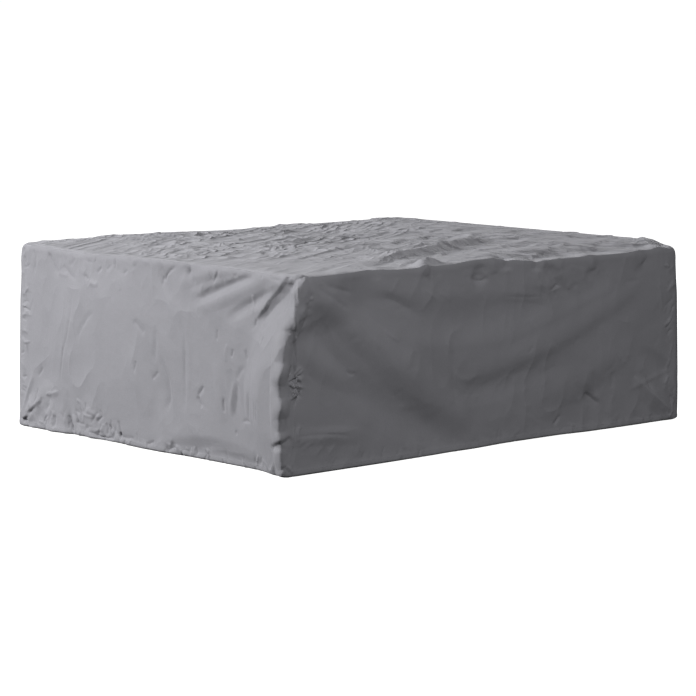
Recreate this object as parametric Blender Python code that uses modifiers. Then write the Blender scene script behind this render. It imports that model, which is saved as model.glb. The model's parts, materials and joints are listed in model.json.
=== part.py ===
"""A long, low, fitted outdoor cover, in the shape in which it hangs.

Five sewn panels of coated cloth, a top and four walls, make a hollow box with no bottom.
Metres, +Z up. The long side runs along X and the short side along Y. The origin is on the
ground under the middle of the cover, and the near corner is at -X, -Y.
"""

from collections import namedtuple
import math

import bmesh
import bpy
import numpy as np

# Driving dimensions, in metres
LENGTH = 2.52
WIDTH = 2.00
HEIGHT = 0.87
CLOTH = 0.002
CORNER_RADIUS = 0.055
EDGE_RADIUS = 0.035
HEM_FLARE = 0.014
SEAM_GAP = 0.0003

# How finely the cloth is divided: the number of steps and the first step's length
STEPS_ALONG_X, FIRST_STEP_X = 34, 0.050
STEPS_ALONG_Y, FIRST_STEP_Y = 28, 0.030
STEPS_UP, FIRST_STEP_DOWN = 12, 0.046
CURL_STEPS = 2
FOLD_STEPS = 12
PUSH_CORE = 0.4

# The near corner's seam has slid round to the front: how far, at heights from the hem up, and
# how much of the cloth on either side of the seam slides with it
SLIDE_HEIGHTS = (0.00, 0.10, 0.22, 0.46, 0.60, 0.74)
SLIDE_LENGTHS = (0.008, 0.044, 0.072, 0.072, 0.040, 0.000)
SLIDE_REACH = 0.45

CLOTH_COLOUR = (0.30, 0.30, 0.315, 1.0)
CLOTH_ROUGHNESS = 0.62

HALF_SIZE = np.array((LENGTH / 2, WIDTH / 2))
CURL_LENGTH = CORNER_RADIUS * math.pi / 4
EDGE_LENGTH = EDGE_RADIUS * math.pi / 4
WALL_HEIGHT = HEIGHT - EDGE_RADIUS

Wall = namedtuple("Wall", "node along outward")
WALLS = (
    Wall("front_panel", (1, 0), (0, -1)),
    Wall("right_panel", (0, 1), (1, 0)),
    Wall("back_panel", (-1, 0), (0, 1)),
    Wall("left_panel", (0, -1), (-1, 0)),
)

# Where the cloth is carried off its plain box: a smooth move that fades out at its reach
Push = namedtuple("Push", "centre reach move")
PUSHES = (
    # the front's top seam hangs lower than the near corner
    Push((0.62, -1.00, 0.87), (0.74, 0.20, 0.30), (0.0, 0.0, -0.032)),
    Push((-0.46, -1.00, 0.87), (0.34, 0.18, 0.26), (0.0, 0.0, -0.012)),
    # the top stands a little high along the back and the left, and sags in the middle
    Push((-0.85, 1.00, 0.87), (0.95, 0.55, 0.30), (0.0, 0.0, 0.014)),
    Push((-1.26, -0.30, 0.87), (0.35, 0.75, 0.20), (0.0, 0.0, 0.008)),
    Push((0.20, 0.15, 0.87), (0.95, 0.75, 0.15), (0.0, 0.0, -0.010)),
    # the near corner bellies to the left, and its foot kicks out
    Push((-1.26, -0.98, 0.34), (0.26, 0.30, 0.44), (-0.062, 0.0, 0.0)),
    Push((-1.26, -1.00, 0.00), (0.22, 0.22, 0.14), (-0.008, 0.0, 0.0)),
    # slack in the walls
    Push((-1.26, 0.35, 0.46), (0.20, 0.60, 0.40), (-0.012, 0.0, 0.0)),
    Push((-0.72, -1.00, 0.60), (0.55, 0.20, 0.34), (0.0, -0.012, 0.0)),
    Push((0.10, -1.00, 0.14), (1.00, 0.20, 0.30), (0.0, 0.016, 0.0)),
    Push((1.26, 0.05, 0.40), (0.20, 0.80, 0.38), (0.030, 0.0, 0.0)),
    Push((0.20, 1.00, 0.36), (0.90, 0.20, 0.36), (0.0, -0.014, 0.0)),
    # the left wall's foot tucks under, and hems lift between the corners
    Push((-1.26, -0.48, 0.00), (0.20, 0.42, 0.12), (0.016, 0.0, 0.0)),
    Push((-1.26, 0.35, 0.00), (0.20, 0.30, 0.14), (0.0, 0.0, 0.005)),
    Push((0.25, -1.00, 0.00), (0.40, 0.20, 0.14), (0.0, 0.0, 0.004)),
    Push((1.26, 0.30, 0.00), (0.20, 0.40, 0.14), (0.010, 0.0, 0.006)),
    Push((-0.40, 1.00, 0.00), (0.50, 0.20, 0.14), (0.0, 0.012, 0.006)),
)

# The main folds of each face. A fold runs from start through bend to end, two coordinates on
# its face of the box: X and Z in front and behind, Y and Z left and right, X and Y on the top.
# Its half width and its height out of the cloth are given at those three points, and a trough
# is minus.
Fold = namedtuple("Fold", "start bend end wide high")
LEFT_FOLDS = (
    # fanning out from the near corner's top
    Fold((-0.96, 0.85), (-0.88, 0.78), (-0.77, 0.67), (0.030, 0.036, 0.036), (0.008, 0.022, 0.010)),
    Fold((-0.98, 0.81), (-0.92, 0.75), (-0.82, 0.64), (0.030, 0.048, 0.038), (-0.006, -0.030, -0.014)),
    Fold((-0.74, 0.85), (-0.52, 0.78), (-0.34, 0.71), (0.036, 0.042, 0.038), (-0.008, -0.018, -0.006)),
    Fold((-0.82, 0.84), (-0.62, 0.76), (-0.41, 0.69), (0.036, 0.042, 0.042), (0.006, 0.013, 0.004)),
    Fold((-0.92, 0.83), (-0.74, 0.76), (-0.56, 0.68), (0.035, 0.045, 0.045), (-0.008, -0.015, -0.006)),
    Fold((-0.60, 0.87), (-0.42, 0.83), (-0.26, 0.78), (0.036, 0.040, 0.040), (0.004, 0.010, 0.004)),
    Fold((-0.30, 0.87), (-0.30, 0.83), (-0.33, 0.78), (0.035, 0.040, 0.035), (-0.010, -0.014, -0.004)),
    Fold((-0.09, 0.84), (-0.12, 0.79), (-0.16, 0.73), (0.035, 0.040, 0.035), (-0.006, -0.010, -0.004)),
    # its middle and its hem
    Fold((-0.59, 0.40), (-0.63, 0.30), (-0.66, 0.20), (0.038, 0.044, 0.038), (-0.008, -0.018, -0.006)),
    Fold((-0.72, 0.40), (-0.72, 0.29), (-0.74, 0.18), (0.040, 0.040, 0.040), (0.004, 0.009, 0.004)),
    Fold((-0.50, 0.42), (-0.52, 0.32), (-0.54, 0.22), (0.045, 0.050, 0.045), (0.003, 0.007, 0.003)),
    Fold((0.00, 0.52), (-0.08, 0.34), (-0.18, 0.16), (0.070, 0.080, 0.080), (-0.004, -0.011, -0.006)),
    Fold((0.14, 0.50), (0.07, 0.34), (0.00, 0.20), (0.070, 0.080, 0.070), (0.003, 0.008, 0.003)),
    Fold((0.55, 0.66), (0.60, 0.45), (0.65, 0.25), (0.060, 0.060, 0.060), (0.004, 0.010, 0.004)),
    Fold((0.69, 0.66), (0.75, 0.44), (0.79, 0.28), (0.070, 0.080, 0.070), (-0.004, -0.010, -0.004)),
    Fold((0.59, 0.17), (0.58, 0.08), (0.57, 0.00), (0.050, 0.055, 0.060), (-0.004, -0.013, -0.018)),
    Fold((0.43, 0.16), (0.42, 0.08), (0.41, 0.00), (0.060, 0.060, 0.060), (0.004, 0.008, 0.012)),
    Fold((0.74, 0.19), (0.73, 0.09), (0.72, 0.00), (0.055, 0.060, 0.060), (0.004, 0.009, 0.012)),
    Fold((0.98, 0.02), (0.88, 0.09), (0.77, 0.20), (0.045, 0.060, 0.060), (0.004, 0.013, 0.004)),
)
FRONT_FOLDS = (
    # two swags that hang from its top corners and cross low in the middle
    Fold((-1.20, 0.82), (-0.74, 0.50), (-0.26, 0.15), (0.070, 0.110, 0.130), (0.010, 0.018, 0.013)),
    Fold((-1.12, 0.62), (-0.82, 0.31), (-0.28, 0.08), (0.070, 0.110, 0.120), (-0.010, -0.016, -0.018)),
    Fold((-1.18, 0.64), (-1.08, 0.48), (-0.93, 0.38), (0.050, 0.065, 0.060), (0.006, 0.013, 0.004)),
    Fold((0.96, 0.68), (0.33, 0.45), (-0.16, 0.35), (0.060, 0.080, 0.070), (0.006, 0.015, 0.013)),
    Fold((0.92, 0.57), (0.34, 0.35), (-0.14, 0.26), (0.070, 0.080, 0.080), (-0.006, -0.014, -0.016)),
    Fold((-0.95, 0.80), (-0.20, 0.60), (0.70, 0.76), (0.090, 0.130, 0.090), (-0.006, -0.014, -0.006)),
    Fold((-0.78, 0.74), (-0.66, 0.72), (-0.50, 0.66), (0.045, 0.050, 0.045), (-0.006, -0.011, -0.004)),
    Fold((0.05, 0.70), (0.18, 0.69), (0.34, 0.66), (0.045, 0.050, 0.045), (0.004, 0.010, 0.004)),
    Fold((-0.12, 0.81), (-0.12, 0.79), (-0.12, 0.76), (0.050, 0.055, 0.045), (-0.010, -0.014, -0.004)),
    Fold((0.34, 0.83), (0.38, 0.79), (0.44, 0.72), (0.045, 0.050, 0.045), (-0.008, -0.013, -0.004)),
    Fold((0.30, 0.22), (0.55, 0.25), (0.86, 0.38), (0.090, 0.110, 0.090), (0.004, 0.011, 0.004)),
    Fold((0.59, 0.19), (0.65, 0.13), (0.72, 0.05), (0.055, 0.060, 0.060), (-0.004, -0.011, -0.006)),
    Fold((1.20, 0.02), (1.09, 0.10), (0.97, 0.19), (0.050, 0.065, 0.060), (0.006, 0.014, 0.004)),
    Fold((1.21, 0.20), (1.13, 0.26), (1.01, 0.33), (0.050, 0.065, 0.060), (-0.004, -0.010, -0.004)),
    Fold((-1.20, 0.17), (-1.06, 0.16), (-0.90, 0.14), (0.050, 0.050, 0.050), (0.004, 0.007, 0.004)),
)
TOP_FOLDS = (
    # one tall ridge, with lower wrinkles over all of it
    Fold((-1.05, -0.92), (-0.10, -0.52), (1.02, 0.04), (0.050, 0.070, 0.055), (0.010, 0.030, 0.008)),
    Fold((-0.80, -0.94), (0.06, -0.62), (0.80, -0.24), (0.060, 0.080, 0.060), (-0.004, -0.012, -0.004)),
    Fold((-0.40, -0.78), (-0.46, -0.90), (-0.47, -1.02), (0.055, 0.060, 0.050), (0.006, 0.018, 0.020)),
    Fold((-0.72, -0.02), (-0.36, 0.12), (0.04, 0.36), (0.055, 0.060, 0.055), (0.005, 0.014, 0.005)),
    Fold((-0.52, -0.24), (-0.12, -0.12), (0.30, 0.10), (0.055, 0.065, 0.055), (0.005, 0.014, 0.005)),
    Fold((-0.64, 0.44), (-0.22, 0.50), (0.16, 0.72), (0.055, 0.065, 0.055), (0.005, 0.014, 0.005)),
    Fold((-1.16, 0.52), (-0.90, 0.20), (-0.78, -0.22), (0.055, 0.060, 0.055), (0.004, 0.012, 0.004)),
    Fold((-1.14, 0.12), (-0.98, -0.20), (-0.92, -0.58), (0.055, 0.060, 0.055), (0.004, 0.011, 0.004)),
    Fold((-1.06, 0.90), (-0.66, 0.78), (-0.24, 0.86), (0.060, 0.065, 0.060), (0.004, 0.013, 0.004)),
    Fold((0.18, 0.62), (0.54, 0.34), (0.98, 0.30), (0.060, 0.065, 0.060), (0.004, 0.013, 0.004)),
    Fold((0.34, 0.88), (0.74, 0.66), (1.12, 0.62), (0.060, 0.065, 0.060), (0.004, 0.012, 0.004)),
    Fold((0.30, -0.72), (0.70, -0.52), (1.12, -0.46), (0.060, 0.065, 0.060), (0.004, 0.014, 0.004)),
    Fold((0.62, -0.92), (0.86, -0.76), (1.14, -0.74), (0.055, 0.060, 0.055), (0.004, 0.012, 0.006)),
    Fold((1.08, -0.84), (1.14, -0.89), (1.19, -0.94), (0.045, 0.050, 0.045), (-0.004, -0.012, -0.008)),
)
RIGHT_FOLDS = (
    Fold((-0.94, 0.82), (-0.45, 0.50), (0.08, 0.30), (0.070, 0.110, 0.120), (0.008, 0.015, 0.010)),
    Fold((0.94, 0.80), (0.55, 0.54), (0.10, 0.42), (0.070, 0.100, 0.110), (0.006, 0.013, 0.008)),
    Fold((-0.80, 0.50), (-0.38, 0.28), (0.10, 0.12), (0.080, 0.100, 0.110), (-0.006, -0.012, -0.010)),
    Fold((0.95, 0.02), (0.86, 0.11), (0.74, 0.22), (0.050, 0.065, 0.060), (0.006, 0.012, 0.004)),
    Fold((-0.36, 0.20), (-0.37, 0.10), (-0.38, 0.00), (0.070, 0.070, 0.070), (-0.004, -0.010, -0.014)),
)
BACK_FOLDS = (
    Fold((-1.20, 0.80), (-0.70, 0.50), (-0.10, 0.32), (0.080, 0.120, 0.130), (0.008, 0.015, 0.010)),
    Fold((1.20, 0.82), (0.78, 0.55), (0.20, 0.40), (0.080, 0.110, 0.120), (0.008, 0.014, 0.008)),
    Fold((1.10, 0.52), (0.62, 0.28), (0.02, 0.12), (0.090, 0.110, 0.120), (-0.006, -0.013, -0.010)),
    Fold((-0.50, 0.22), (-0.51, 0.11), (-0.52, 0.00), (0.070, 0.070, 0.070), (0.004, 0.010, 0.014)),
    Fold((-0.66, 0.22), (-0.67, 0.11), (-0.68, 0.00), (0.070, 0.070, 0.070), (-0.004, -0.010, -0.014)),
)

# Each face's folds, with the way to read their two coordinates as a point of the box
Face = namedtuple("Face", "place folds")
FACES = (
    Face(lambda y, z: (-LENGTH / 2, y, z), LEFT_FOLDS),
    Face(lambda x, z: (x, -WIDTH / 2, z), FRONT_FOLDS),
    Face(lambda x, y: (x, y, HEIGHT), TOP_FOLDS),
    Face(lambda y, z: (LENGTH / 2, y, z), RIGHT_FOLDS),
    Face(lambda x, z: (x, WIDTH / 2, z), BACK_FOLDS),
)


def clear_scene():
    for obj in list(bpy.data.objects):
        bpy.data.objects.remove(obj, do_unlink=True)


def graded(length, steps, first):
    """Places along a length, where the first step is given and the others grow evenly."""
    growth = (length - steps * first) * 2 / (steps * (steps - 1))
    count = np.arange(steps + 1)
    return first * count + growth * count * (count - 1) / 2


def stations(half_length, steps, first):
    """Places along a wall's cloth, from seam to seam, measured round its curled ends."""
    straight = half_length - CORNER_RADIUS
    curl = np.linspace(0, CURL_LENGTH, CURL_STEPS + 1)[1:]
    curl[-1] -= SEAM_GAP / 2
    flat = graded(2 * straight, steps, first) - straight
    return np.concatenate((-straight - curl[::-1], flat, straight + curl))


def rises():
    """Places up a wall's cloth, from the hem to the top seam."""
    curl = np.linspace(0, EDGE_LENGTH, CURL_STEPS + 1)[1:]
    curl[-1] -= SEAM_GAP / 2
    flat = WALL_HEIGHT - graded(WALL_HEIGHT, STEPS_UP, FIRST_STEP_DOWN)[::-1]
    return np.concatenate((flat, WALL_HEIGHT + curl))


def smooth_step(value):
    value = np.clip(value, 0, 1)
    return value * value * (3 - 2 * value)


def between(three, place):
    """The value at each place from 0 to 1 of a curve through three given values."""
    start, middle, end = (np.asarray(value, float) for value in three)
    lead = 2 * middle - (start + end) / 2
    place = np.asarray(place)
    if start.ndim:
        place = place[:, None]
    return (1 - place) ** 2 * start + 2 * place * (1 - place) * lead + place**2 * end


def slid(wall, across, up):
    """Places along a wall's cloth, moved on where the near corner's seam has slid."""
    half_length = abs(np.array(wall.along)) @ HALF_SIZE - CORNER_RADIUS + CURL_LENGTH
    if wall.node == "front_panel":
        from_seam = half_length + across
    elif wall.node == "left_panel":
        from_seam = half_length - across
    else:
        return across
    share = smooth_step(1 - from_seam / SLIDE_REACH)
    return across + share * np.interp(up, SLIDE_HEIGHTS, SLIDE_LENGTHS)


def wall_surface(wall, across, up):
    """Points on a wall of the plain box, and the way that the cloth faces there."""
    along = np.array(wall.along, float)
    outward = np.array(wall.outward, float)
    half_length = abs(along) @ HALF_SIZE
    depth = abs(outward) @ HALF_SIZE
    straight = half_length - CORNER_RADIUS
    turn = np.clip((abs(across) - straight) / CORNER_RADIUS, 0, math.pi / 2)
    past_corner = np.clip(abs(across) - straight - 2 * CURL_LENGTH, 0, None)
    side = np.sign(across)
    facing = np.cos(turn)[:, None] * outward + (side * np.sin(turn))[:, None] * along
    reach = side * np.minimum(abs(across), straight)
    plan = reach[:, None] * along + (depth - CORNER_RADIUS - past_corner)[:, None] * outward
    lean = np.clip(up - WALL_HEIGHT, 0, None) / EDGE_RADIUS
    plan = plan + (CORNER_RADIUS - EDGE_RADIUS * (1 - np.cos(lean)))[:, None] * facing
    height = np.minimum(up, WALL_HEIGHT) + EDGE_RADIUS * np.sin(lean)
    points = np.column_stack((plan, height))
    normals = np.column_stack((np.cos(lean)[:, None] * facing, np.sin(lean)))
    return points, normals


def top_surface(plan):
    """The same for points of the top, given where they lie in plan."""
    beyond = abs(plan) - (HALF_SIZE - CORNER_RADIUS)
    corner = np.linalg.norm(np.clip(beyond, 0, None), axis=1)
    inset = CORNER_RADIUS - corner - np.minimum(beyond.max(axis=1), 0)
    in_corner = (beyond > 0).all(axis=1)
    longer = np.eye(2)[beyond.argmax(axis=1)]
    facing = np.where(in_corner[:, None], np.clip(beyond, 0, None), longer) * np.sign(plan)
    facing /= np.linalg.norm(facing, axis=1)[:, None]
    lean = np.clip(1 - inset / EDGE_RADIUS, 0, 1)
    rise = np.sqrt(1 - lean**2)
    points = np.column_stack((plan, WALL_HEIGHT + EDGE_RADIUS * rise))
    normals = np.column_stack((lean[:, None] * facing, rise))
    return points, normals


def fold_height(points, fold, to_box):
    """How far out of the plain box each point is carried by one fold."""
    places = np.linspace(0, 1, FOLD_STEPS + 1)
    line = between([to_box(*end) for end in (fold.start, fold.bend, fold.end)], places)
    spans = np.diff(line, axis=0)
    offsets = points[:, None] - line[:-1]
    along = np.clip((offsets * spans).sum(axis=2) / (spans**2).sum(axis=1), 0, 1)
    gaps = np.linalg.norm(offsets - along[:, :, None] * spans, axis=2)
    nearest = gaps.argmin(axis=1)
    rows = np.arange(len(points))
    place = (nearest + along[rows, nearest]) / FOLD_STEPS
    away = gaps[rows, nearest] / between(fold.wide, place)
    return between(fold.high, place) * np.clip(1 - away**2, 0, None) ** 2


def draped(points, normals):
    """The points of the plain box moved to where the hanging cloth is."""
    flare = HEM_FLARE * (0.5 - points[:, 2] / HEIGHT)
    moved = points.copy()
    moved[:, :2] += flare[:, None] * points[:, :2] / HALF_SIZE
    for push in PUSHES:
        away = np.linalg.norm((points - push.centre) / push.reach, axis=1)
        moved += smooth_step((1 - away) / (1 - PUSH_CORE))[:, None] * np.array(push.move)
    for face in FACES:
        for fold in face.folds:
            moved += fold_height(points, fold, face.place)[:, None] * normals
    return moved


def cloth_material(name):
    material = bpy.data.materials.new(name)
    material.use_nodes = True
    shader = material.node_tree.nodes["Principled BSDF"]
    shader.inputs["Base Color"].default_value = CLOTH_COLOUR
    shader.inputs["Roughness"].default_value = CLOTH_ROUGHNESS
    shader.inputs["Metallic"].default_value = 0.0
    return material


def add_panel(node, columns, rows, place, collection):
    """A grid of columns by rows, laid by place(column, row), and thickened outwards."""
    shape = bmesh.new()
    bmesh.ops.create_grid(shape, x_segments=columns, y_segments=rows, size=1)
    flat = np.array([vertex.co[:2] for vertex in shape.verts])
    steps = np.rint((flat + 1) / 2 * (columns, rows)).astype(int)
    for vertex, point in zip(shape.verts, draped(*place(steps[:, 0], steps[:, 1]))):
        vertex.co = point
    mesh = bpy.data.meshes.new(node)
    shape.to_mesh(mesh)
    shape.free()
    mesh.shade_smooth()
    panel = bpy.data.objects.new(node, mesh)
    panel.data.materials.append(cloth_material(node + "_cloth"))
    thickness = panel.modifiers.new("Cloth thickness", "SOLIDIFY")
    thickness.thickness = CLOTH
    thickness.offset = 1.0
    collection.objects.link(panel)


def add_wall(wall, collection):
    if wall.along[0]:
        across = stations(LENGTH / 2, STEPS_ALONG_X, FIRST_STEP_X)
    else:
        across = stations(WIDTH / 2, STEPS_ALONG_Y, FIRST_STEP_Y)
    if sum(wall.along) < 0:
        across = -across[::-1]
    up = rises()

    def place(column, row):
        return wall_surface(wall, slid(wall, across[column], up[row]), up[row])

    add_panel(wall.node, len(across) - 1, len(up) - 1, place, collection)


def seam_outline(wall, across):
    """The top's cut edge over one wall, in plan, just inside the seam."""
    seam = np.full(len(across), WALL_HEIGHT + EDGE_LENGTH + SEAM_GAP / 2)
    return wall_surface(wall, across, seam)[0][:, :2]


def add_top(collection):
    front, right, back, left = WALLS
    along_x = stations(LENGTH / 2, STEPS_ALONG_X, FIRST_STEP_X)
    along_y = stations(WIDTH / 2, STEPS_ALONG_Y, FIRST_STEP_Y)
    low_edge = seam_outline(front, along_x)
    high_edge = seam_outline(back, -along_x)
    left_edge = seam_outline(left, -along_y)
    right_edge = seam_outline(right, along_y)
    low_edge[[0, -1]] = left_edge[0], right_edge[0]
    high_edge[[0, -1]] = left_edge[-1], right_edge[-1]
    share_x = (low_edge[:, 0] - low_edge[0, 0]) / np.ptp(low_edge[:, 0])
    share_y = (left_edge[:, 1] - left_edge[0, 1]) / np.ptp(left_edge[:, 1])

    def place(column, row):
        """A point of the patch that spans the four edges."""
        u = share_x[column][:, None]
        v = share_y[row][:, None]
        plan = (1 - v) * low_edge[column] + v * high_edge[column]
        plan += (1 - u) * left_edge[row] + u * right_edge[row]
        plan -= (1 - v) * ((1 - u) * low_edge[0] + u * low_edge[-1])
        plan -= v * ((1 - u) * high_edge[0] + u * high_edge[-1])
        return top_surface(plan)

    add_panel("top_panel", len(along_x) - 1, len(along_y) - 1, place, collection)


def main():
    clear_scene()
    cover = bpy.data.collections.new("furniture_cover")
    bpy.context.scene.collection.children.link(cover)
    for wall in WALLS:
        add_wall(wall, cover)
    add_top(cover)


main()
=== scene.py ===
"""The looks of a long, low, fitted outdoor cover of grey coated cloth.

Five sewn panels, a top and four walls, hang as a hollow box with no bottom. Metres, +Z up. The
long side runs along X, the near corner is at -X, -Y, and the ground is at z = 0.
"""
from collections import namedtuple
import json
import math

import bpy
import numpy as np
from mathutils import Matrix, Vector

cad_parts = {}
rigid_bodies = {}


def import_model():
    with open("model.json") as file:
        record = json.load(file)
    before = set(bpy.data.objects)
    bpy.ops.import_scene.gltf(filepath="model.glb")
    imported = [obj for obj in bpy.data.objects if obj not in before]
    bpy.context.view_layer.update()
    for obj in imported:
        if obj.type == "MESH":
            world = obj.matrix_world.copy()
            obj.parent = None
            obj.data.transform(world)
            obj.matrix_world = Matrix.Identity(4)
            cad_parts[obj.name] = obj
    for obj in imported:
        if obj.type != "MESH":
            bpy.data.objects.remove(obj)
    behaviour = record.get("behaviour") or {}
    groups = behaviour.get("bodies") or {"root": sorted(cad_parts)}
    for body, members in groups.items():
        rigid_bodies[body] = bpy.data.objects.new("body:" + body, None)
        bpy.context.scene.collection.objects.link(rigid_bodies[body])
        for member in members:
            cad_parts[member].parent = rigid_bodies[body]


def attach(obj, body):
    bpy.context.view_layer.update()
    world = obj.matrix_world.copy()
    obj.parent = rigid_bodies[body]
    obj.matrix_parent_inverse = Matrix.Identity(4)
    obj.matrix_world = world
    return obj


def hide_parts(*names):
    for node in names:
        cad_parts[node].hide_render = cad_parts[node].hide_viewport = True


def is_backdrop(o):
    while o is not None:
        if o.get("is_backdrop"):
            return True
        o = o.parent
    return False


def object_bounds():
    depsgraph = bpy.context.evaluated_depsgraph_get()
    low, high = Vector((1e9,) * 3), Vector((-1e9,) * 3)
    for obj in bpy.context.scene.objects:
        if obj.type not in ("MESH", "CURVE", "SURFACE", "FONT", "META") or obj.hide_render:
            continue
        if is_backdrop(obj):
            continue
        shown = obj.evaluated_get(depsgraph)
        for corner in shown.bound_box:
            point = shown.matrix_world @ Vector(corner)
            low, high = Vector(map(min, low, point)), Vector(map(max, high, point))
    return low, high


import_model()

CAD_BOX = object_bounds()

# The sewn cover's sizes, over its plain box
LENGTH = 2.52
WIDTH = 2.00
HEIGHT = 0.87
CLOTH = 0.002
CORNER_RADIUS = 0.055
EDGE_RADIUS = 0.035
CURL_LENGTH = CORNER_RADIUS * math.pi / 4
EDGE_LENGTH = EDGE_RADIUS * math.pi / 4
WALL_HEIGHT = HEIGHT - EDGE_RADIUS
HALF_SIZE = np.array((LENGTH / 2, WIDTH / 2))
SEAM_GAP = 0.0003

# The hem: how far the walls flare down to it, its depth, its fullness, and its edge's curl
HEM_FLARE = 0.014
HEM_DEPTH = 0.026
HEM_FULLNESS = 0.0018
HEM_CURL_UP = 0.008
HEM_CURL_IN = 0.010

# The lapped seam up a corner, which goes flat towards the top, and the step at a lap or a hem
LAP_WIDTH = 0.011
LAP_HEIGHT = 0.0030
LAP_TOP = 0.72
LAP_FADE = 0.12
STEP_WIDTH = 0.0025

# The stitches, and how far their row lies in from the edge that it holds down
STITCH_PITCH = 0.009
STITCH_LENGTH = 0.006
STITCH_WIDTH = 0.0009
STITCH_INSET = 0.006
STITCH_SIDES = 6
STITCH_RINGS = 4

# The cloth's step length, away from a seam and at a seam, and how far a seam's finer steps reach
SEAM_STEP = 0.0032
TOP_STEPS = (0.0079, SEAM_STEP)
LONG_STEPS = (0.0055, SEAM_STEP)
SHORT_STEPS = (0.0047, SEAM_STEP)
HIDDEN_STEPS = (0.0100, SEAM_STEP)
SEAM_REACH = 0.020
WALK_PLACES = 2000

# The share of the hidden inner skin's faces that is kept, and the angle past which an edge is sharp
INSIDE_SHARE = 0.15
SHARP_ANGLE = math.radians(60)

# The near corner's seam has slid round to the front: how far, at heights from the hem up, and
# how much of a wall slides with it
SLIDE_HEIGHTS = (0.00, 0.10, 0.22, 0.46, 0.60, 0.74)
SLIDE_LENGTHS = (0.008, 0.044, 0.072, 0.072, 0.040, 0.000)
SLIDE_REACH = 0.45

# The walls: their pieces, the panels that they stand for, the way along them seen from outside,
# the way that they face, and their cloth's step lengths
Wall = namedtuple("Wall", "piece node along outward steps")
FRONT = Wall("front_cloth", "front_panel", (1, 0), (0, -1), LONG_STEPS)
RIGHT = Wall("right_cloth", "right_panel", (0, 1), (1, 0), HIDDEN_STEPS)
BACK = Wall("back_cloth", "back_panel", (-1, 0), (0, 1), HIDDEN_STEPS)
LEFT = Wall("left_cloth", "left_panel", (0, -1), (-1, 0), SHORT_STEPS)
WALLS = (FRONT, RIGHT, BACK, LEFT)

# Where the cloth is carried off its plain box: a smooth move, whole in the core of its reach and
# fading out from there
Push = namedtuple("Push", "centre reach move")
PUSH_CORE = 0.4
PUSHES = (
    # the front's top seam hangs lower than the near corner
    Push((0.62, -1.00, 0.87), (0.74, 0.20, 0.30), (0.0, 0.0, -0.032)),
    Push((-0.46, -1.00, 0.87), (0.34, 0.18, 0.26), (0.0, 0.0, -0.012)),
    # the top stands a little high along the back and the left, and sags in the middle
    Push((-0.85, 1.00, 0.87), (0.95, 0.55, 0.30), (0.0, 0.0, 0.014)),
    Push((-1.26, -0.30, 0.87), (0.35, 0.75, 0.20), (0.0, 0.0, 0.008)),
    Push((0.20, 0.15, 0.87), (0.95, 0.75, 0.15), (0.0, 0.0, -0.010)),
    # the near corner's top sticks out to the front, it bellies to the left, its foot kicks out
    Push((-1.26, -1.00, 0.87), (0.50, 0.17, 0.30), (0.0, -0.043, 0.0)),
    Push((-1.26, -0.98, 0.34), (0.26, 0.30, 0.44), (-0.062, 0.0, 0.0)),
    Push((-1.26, -1.00, 0.00), (0.22, 0.22, 0.14), (-0.008, 0.0, 0.0)),
    # the corner on the right is dented
    Push((1.26, -1.00, 0.87), (0.14, 0.16, 0.10), (0.0, 0.0, -0.018)),
    # slack in the walls
    Push((-1.26, 0.35, 0.46), (0.20, 0.60, 0.40), (-0.012, 0.0, 0.0)),
    Push((-0.72, -1.00, 0.60), (0.55, 0.20, 0.34), (0.0, -0.012, 0.0)),
    Push((0.10, -1.00, 0.14), (1.00, 0.20, 0.30), (0.0, 0.016, 0.0)),
    Push((1.26, 0.05, 0.40), (0.20, 0.80, 0.38), (0.030, 0.0, 0.0)),
    Push((0.20, 1.00, 0.36), (0.90, 0.20, 0.36), (0.0, -0.014, 0.0)),
    # the left wall's foot tucks under, and hems lift between the corners
    Push((-1.26, -0.48, 0.00), (0.20, 0.42, 0.12), (0.016, 0.0, 0.0)),
    Push((-1.26, 0.35, 0.00), (0.20, 0.30, 0.14), (0.0, 0.0, 0.005)),
    Push((0.25, -1.00, 0.00), (0.40, 0.20, 0.14), (0.0, 0.0, 0.004)),
    Push((1.26, 0.30, 0.00), (0.20, 0.40, 0.14), (0.010, 0.0, 0.006)),
    Push((-0.40, 1.00, 0.00), (0.50, 0.20, 0.14), (0.0, 0.012, 0.006)),
)

# Each face has its folds and its creases in rows, whose first entries are in millimetres
PER_METRE = 1000
LENGTHS_IN_ROW = 6

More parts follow.
